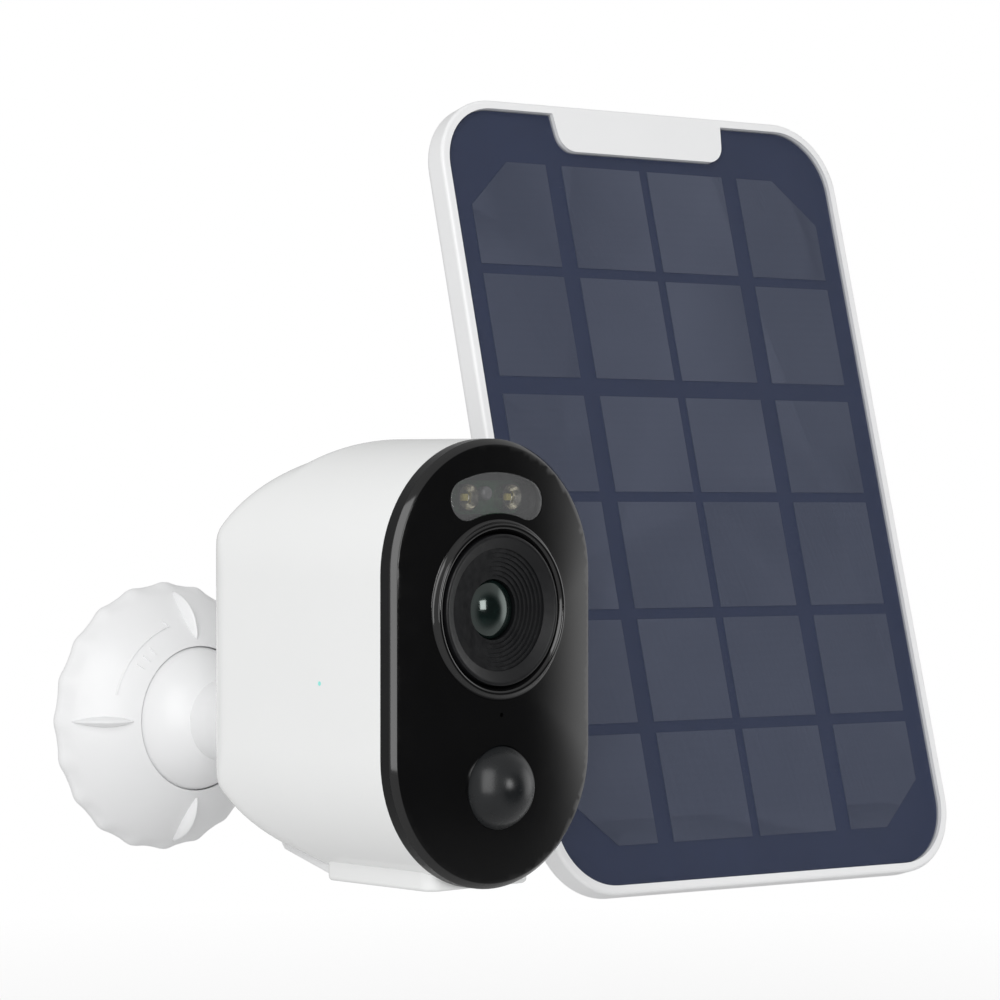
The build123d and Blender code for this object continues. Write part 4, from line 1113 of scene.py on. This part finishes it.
EYE = Vector((-0.5281, -0.6899, 0.0568))
VIEW_RIGHT = Vector((0.7320, -0.6813, 0.0)).normalized()
VIEW_FORWARD = Vector((0.6813, 0.7320, -0.0090)).normalized()
DIM_SIDE = (0.40, -0.91, -0.08)
LEFT_SIDE = (-1, 0.1, 0.25)
RIGHT_WINDOW = (0.95, -0.30, 0.05)

camera = bpy.data.objects.new("camera", bpy.data.cameras.new("camera"))
bpy.context.scene.collection.objects.link(camera)
camera.data.lens = 135.6
camera.data.sensor_width = 36.0
camera.data.clip_start = 0.05
camera.data.clip_end = 20
view_up = VIEW_RIGHT.cross(VIEW_FORWARD)
camera.matrix_world = Matrix.Translation(EYE) @ Matrix(
    (VIEW_RIGHT, view_up, -VIEW_FORWARD)).transposed().to_4x4()
bpy.context.scene.camera = camera
bpy.context.scene.view_settings.view_transform = "Standard"


def studio_world():
    """A pale backdrop in a light room, which is dim in front and brighter on the left and far right."""
    world = bpy.data.worlds.new("studio")
    bpy.context.scene.world = world
    world.use_nodes = True
    nodes, links = world.node_tree.nodes, world.node_tree.links
    nodes.clear()
    place = nodes.new("ShaderNodeTexCoord").outputs["Generated"]

    def lobe(direction, start, end, low, high):
        """A level that goes from low to high as the view direction nears a given one."""
        dot = nodes.new("ShaderNodeVectorMath")
        dot.operation = "DOT_PRODUCT"
        dot.inputs[1].default_value = Vector(direction).normalized()
        links.new(place, dot.inputs[0])
        spread = nodes.new("ShaderNodeMapRange")
        spread.interpolation_type = "SMOOTHSTEP"
        for socket, value in (("From Min", start), ("From Max", end), ("To Min", low), ("To Max", high)):
            spread.inputs[socket].default_value = value
        links.new(dot.outputs["Value"], spread.inputs["Value"])
        return spread.outputs["Result"]

    def product(a, b):
        multiply = nodes.new("ShaderNodeMath")
        multiply.operation = "MULTIPLY"
        links.new(a, multiply.inputs[0])
        links.new(b, multiply.inputs[1])
        return multiply.outputs["Value"]

    level = product(lobe(DIM_SIDE, 0.76, 0.93, 1.0, 0.07), lobe(LEFT_SIDE, -0.4, 0.9, 0.54, 0.65))
    level = product(level, lobe(RIGHT_WINDOW, 0.90, 0.99, 1.0, 2.9))
    room = nodes.new("ShaderNodeBackground")
    room.inputs["Color"].default_value = (1, 1, 1, 1)
    links.new(level, room.inputs["Strength"])
    backdrop = nodes.new("ShaderNodeBackground")
    backdrop.inputs["Color"].default_value = (1, 1, 1, 1)
    backdrop.inputs["Strength"].default_value = 1.0
    seen = nodes.new("ShaderNodeLightPath")
    choose = nodes.new("ShaderNodeMixShader")
    links.new(seen.outputs["Is Camera Ray"], choose.inputs["Fac"])
    links.new(room.outputs["Background"], choose.inputs[1])
    links.new(backdrop.outputs["Background"], choose.inputs[2])
    links.new(choose.outputs["Shader"], nodes.new("ShaderNodeOutputWorld").inputs["Surface"])


def area_light(name, place, target, width, height, power):
    """A rectangle of light that faces its target."""
    light = bpy.data.lights.new(name, "AREA")
    light.shape = "RECTANGLE"
    light.size = width
    light.size_y = height
    light.energy = power
    obj = bpy.data.objects.new(name, light)
    bpy.context.scene.collection.objects.link(obj)
    obj.location = place
    obj.rotation_euler = (Vector(target) - Vector(place)).to_track_quat("-Z", "Y").to_euler()


FLOOR_R = 0.7
FLOOR_DROP = 0.06
FLOOR_ALPHA = 0.24
FADE_START = 0.14
FADE_END = 0.5


def pale_floor():
    """A pale round floor that fades into the backdrop, some way under the camera."""
    bm = bmesh.new()
    bmesh.ops.create_circle(bm, cap_ends=True, segments=96, radius=FLOOR_R)
    floor = scratch_object("floor", bm)
    floor.location = (0.06, -0.06, CAD_BOX[0].z - FLOOR_DROP)
    finish = Finish("floor_pale", (0.93, 0.93, 0.93), 0.8)
    reach = finish.nodes.new("ShaderNodeVectorMath")
    reach.operation = "LENGTH"
    finish.links.new(finish.place, reach.inputs[0])
    fade = finish.ramp(reach.outputs["Value"], FLOOR_ALPHA, 0, FADE_START, FADE_END)
    finish.links.new(fade, finish.shader.inputs["Alpha"])
    floor.data.materials.append(finish.material)


studio_world()
area_light("key", (-1.05, -1.0, 0.5), (0.02, -0.06, 0.03), width=0.8, height=1.7, power=12.5)
area_light("glint", (0.18, -1.35, 0.2), (0.0, -0.12, 0.027), width=0.34, height=0.4, power=3.2)
pale_floor()
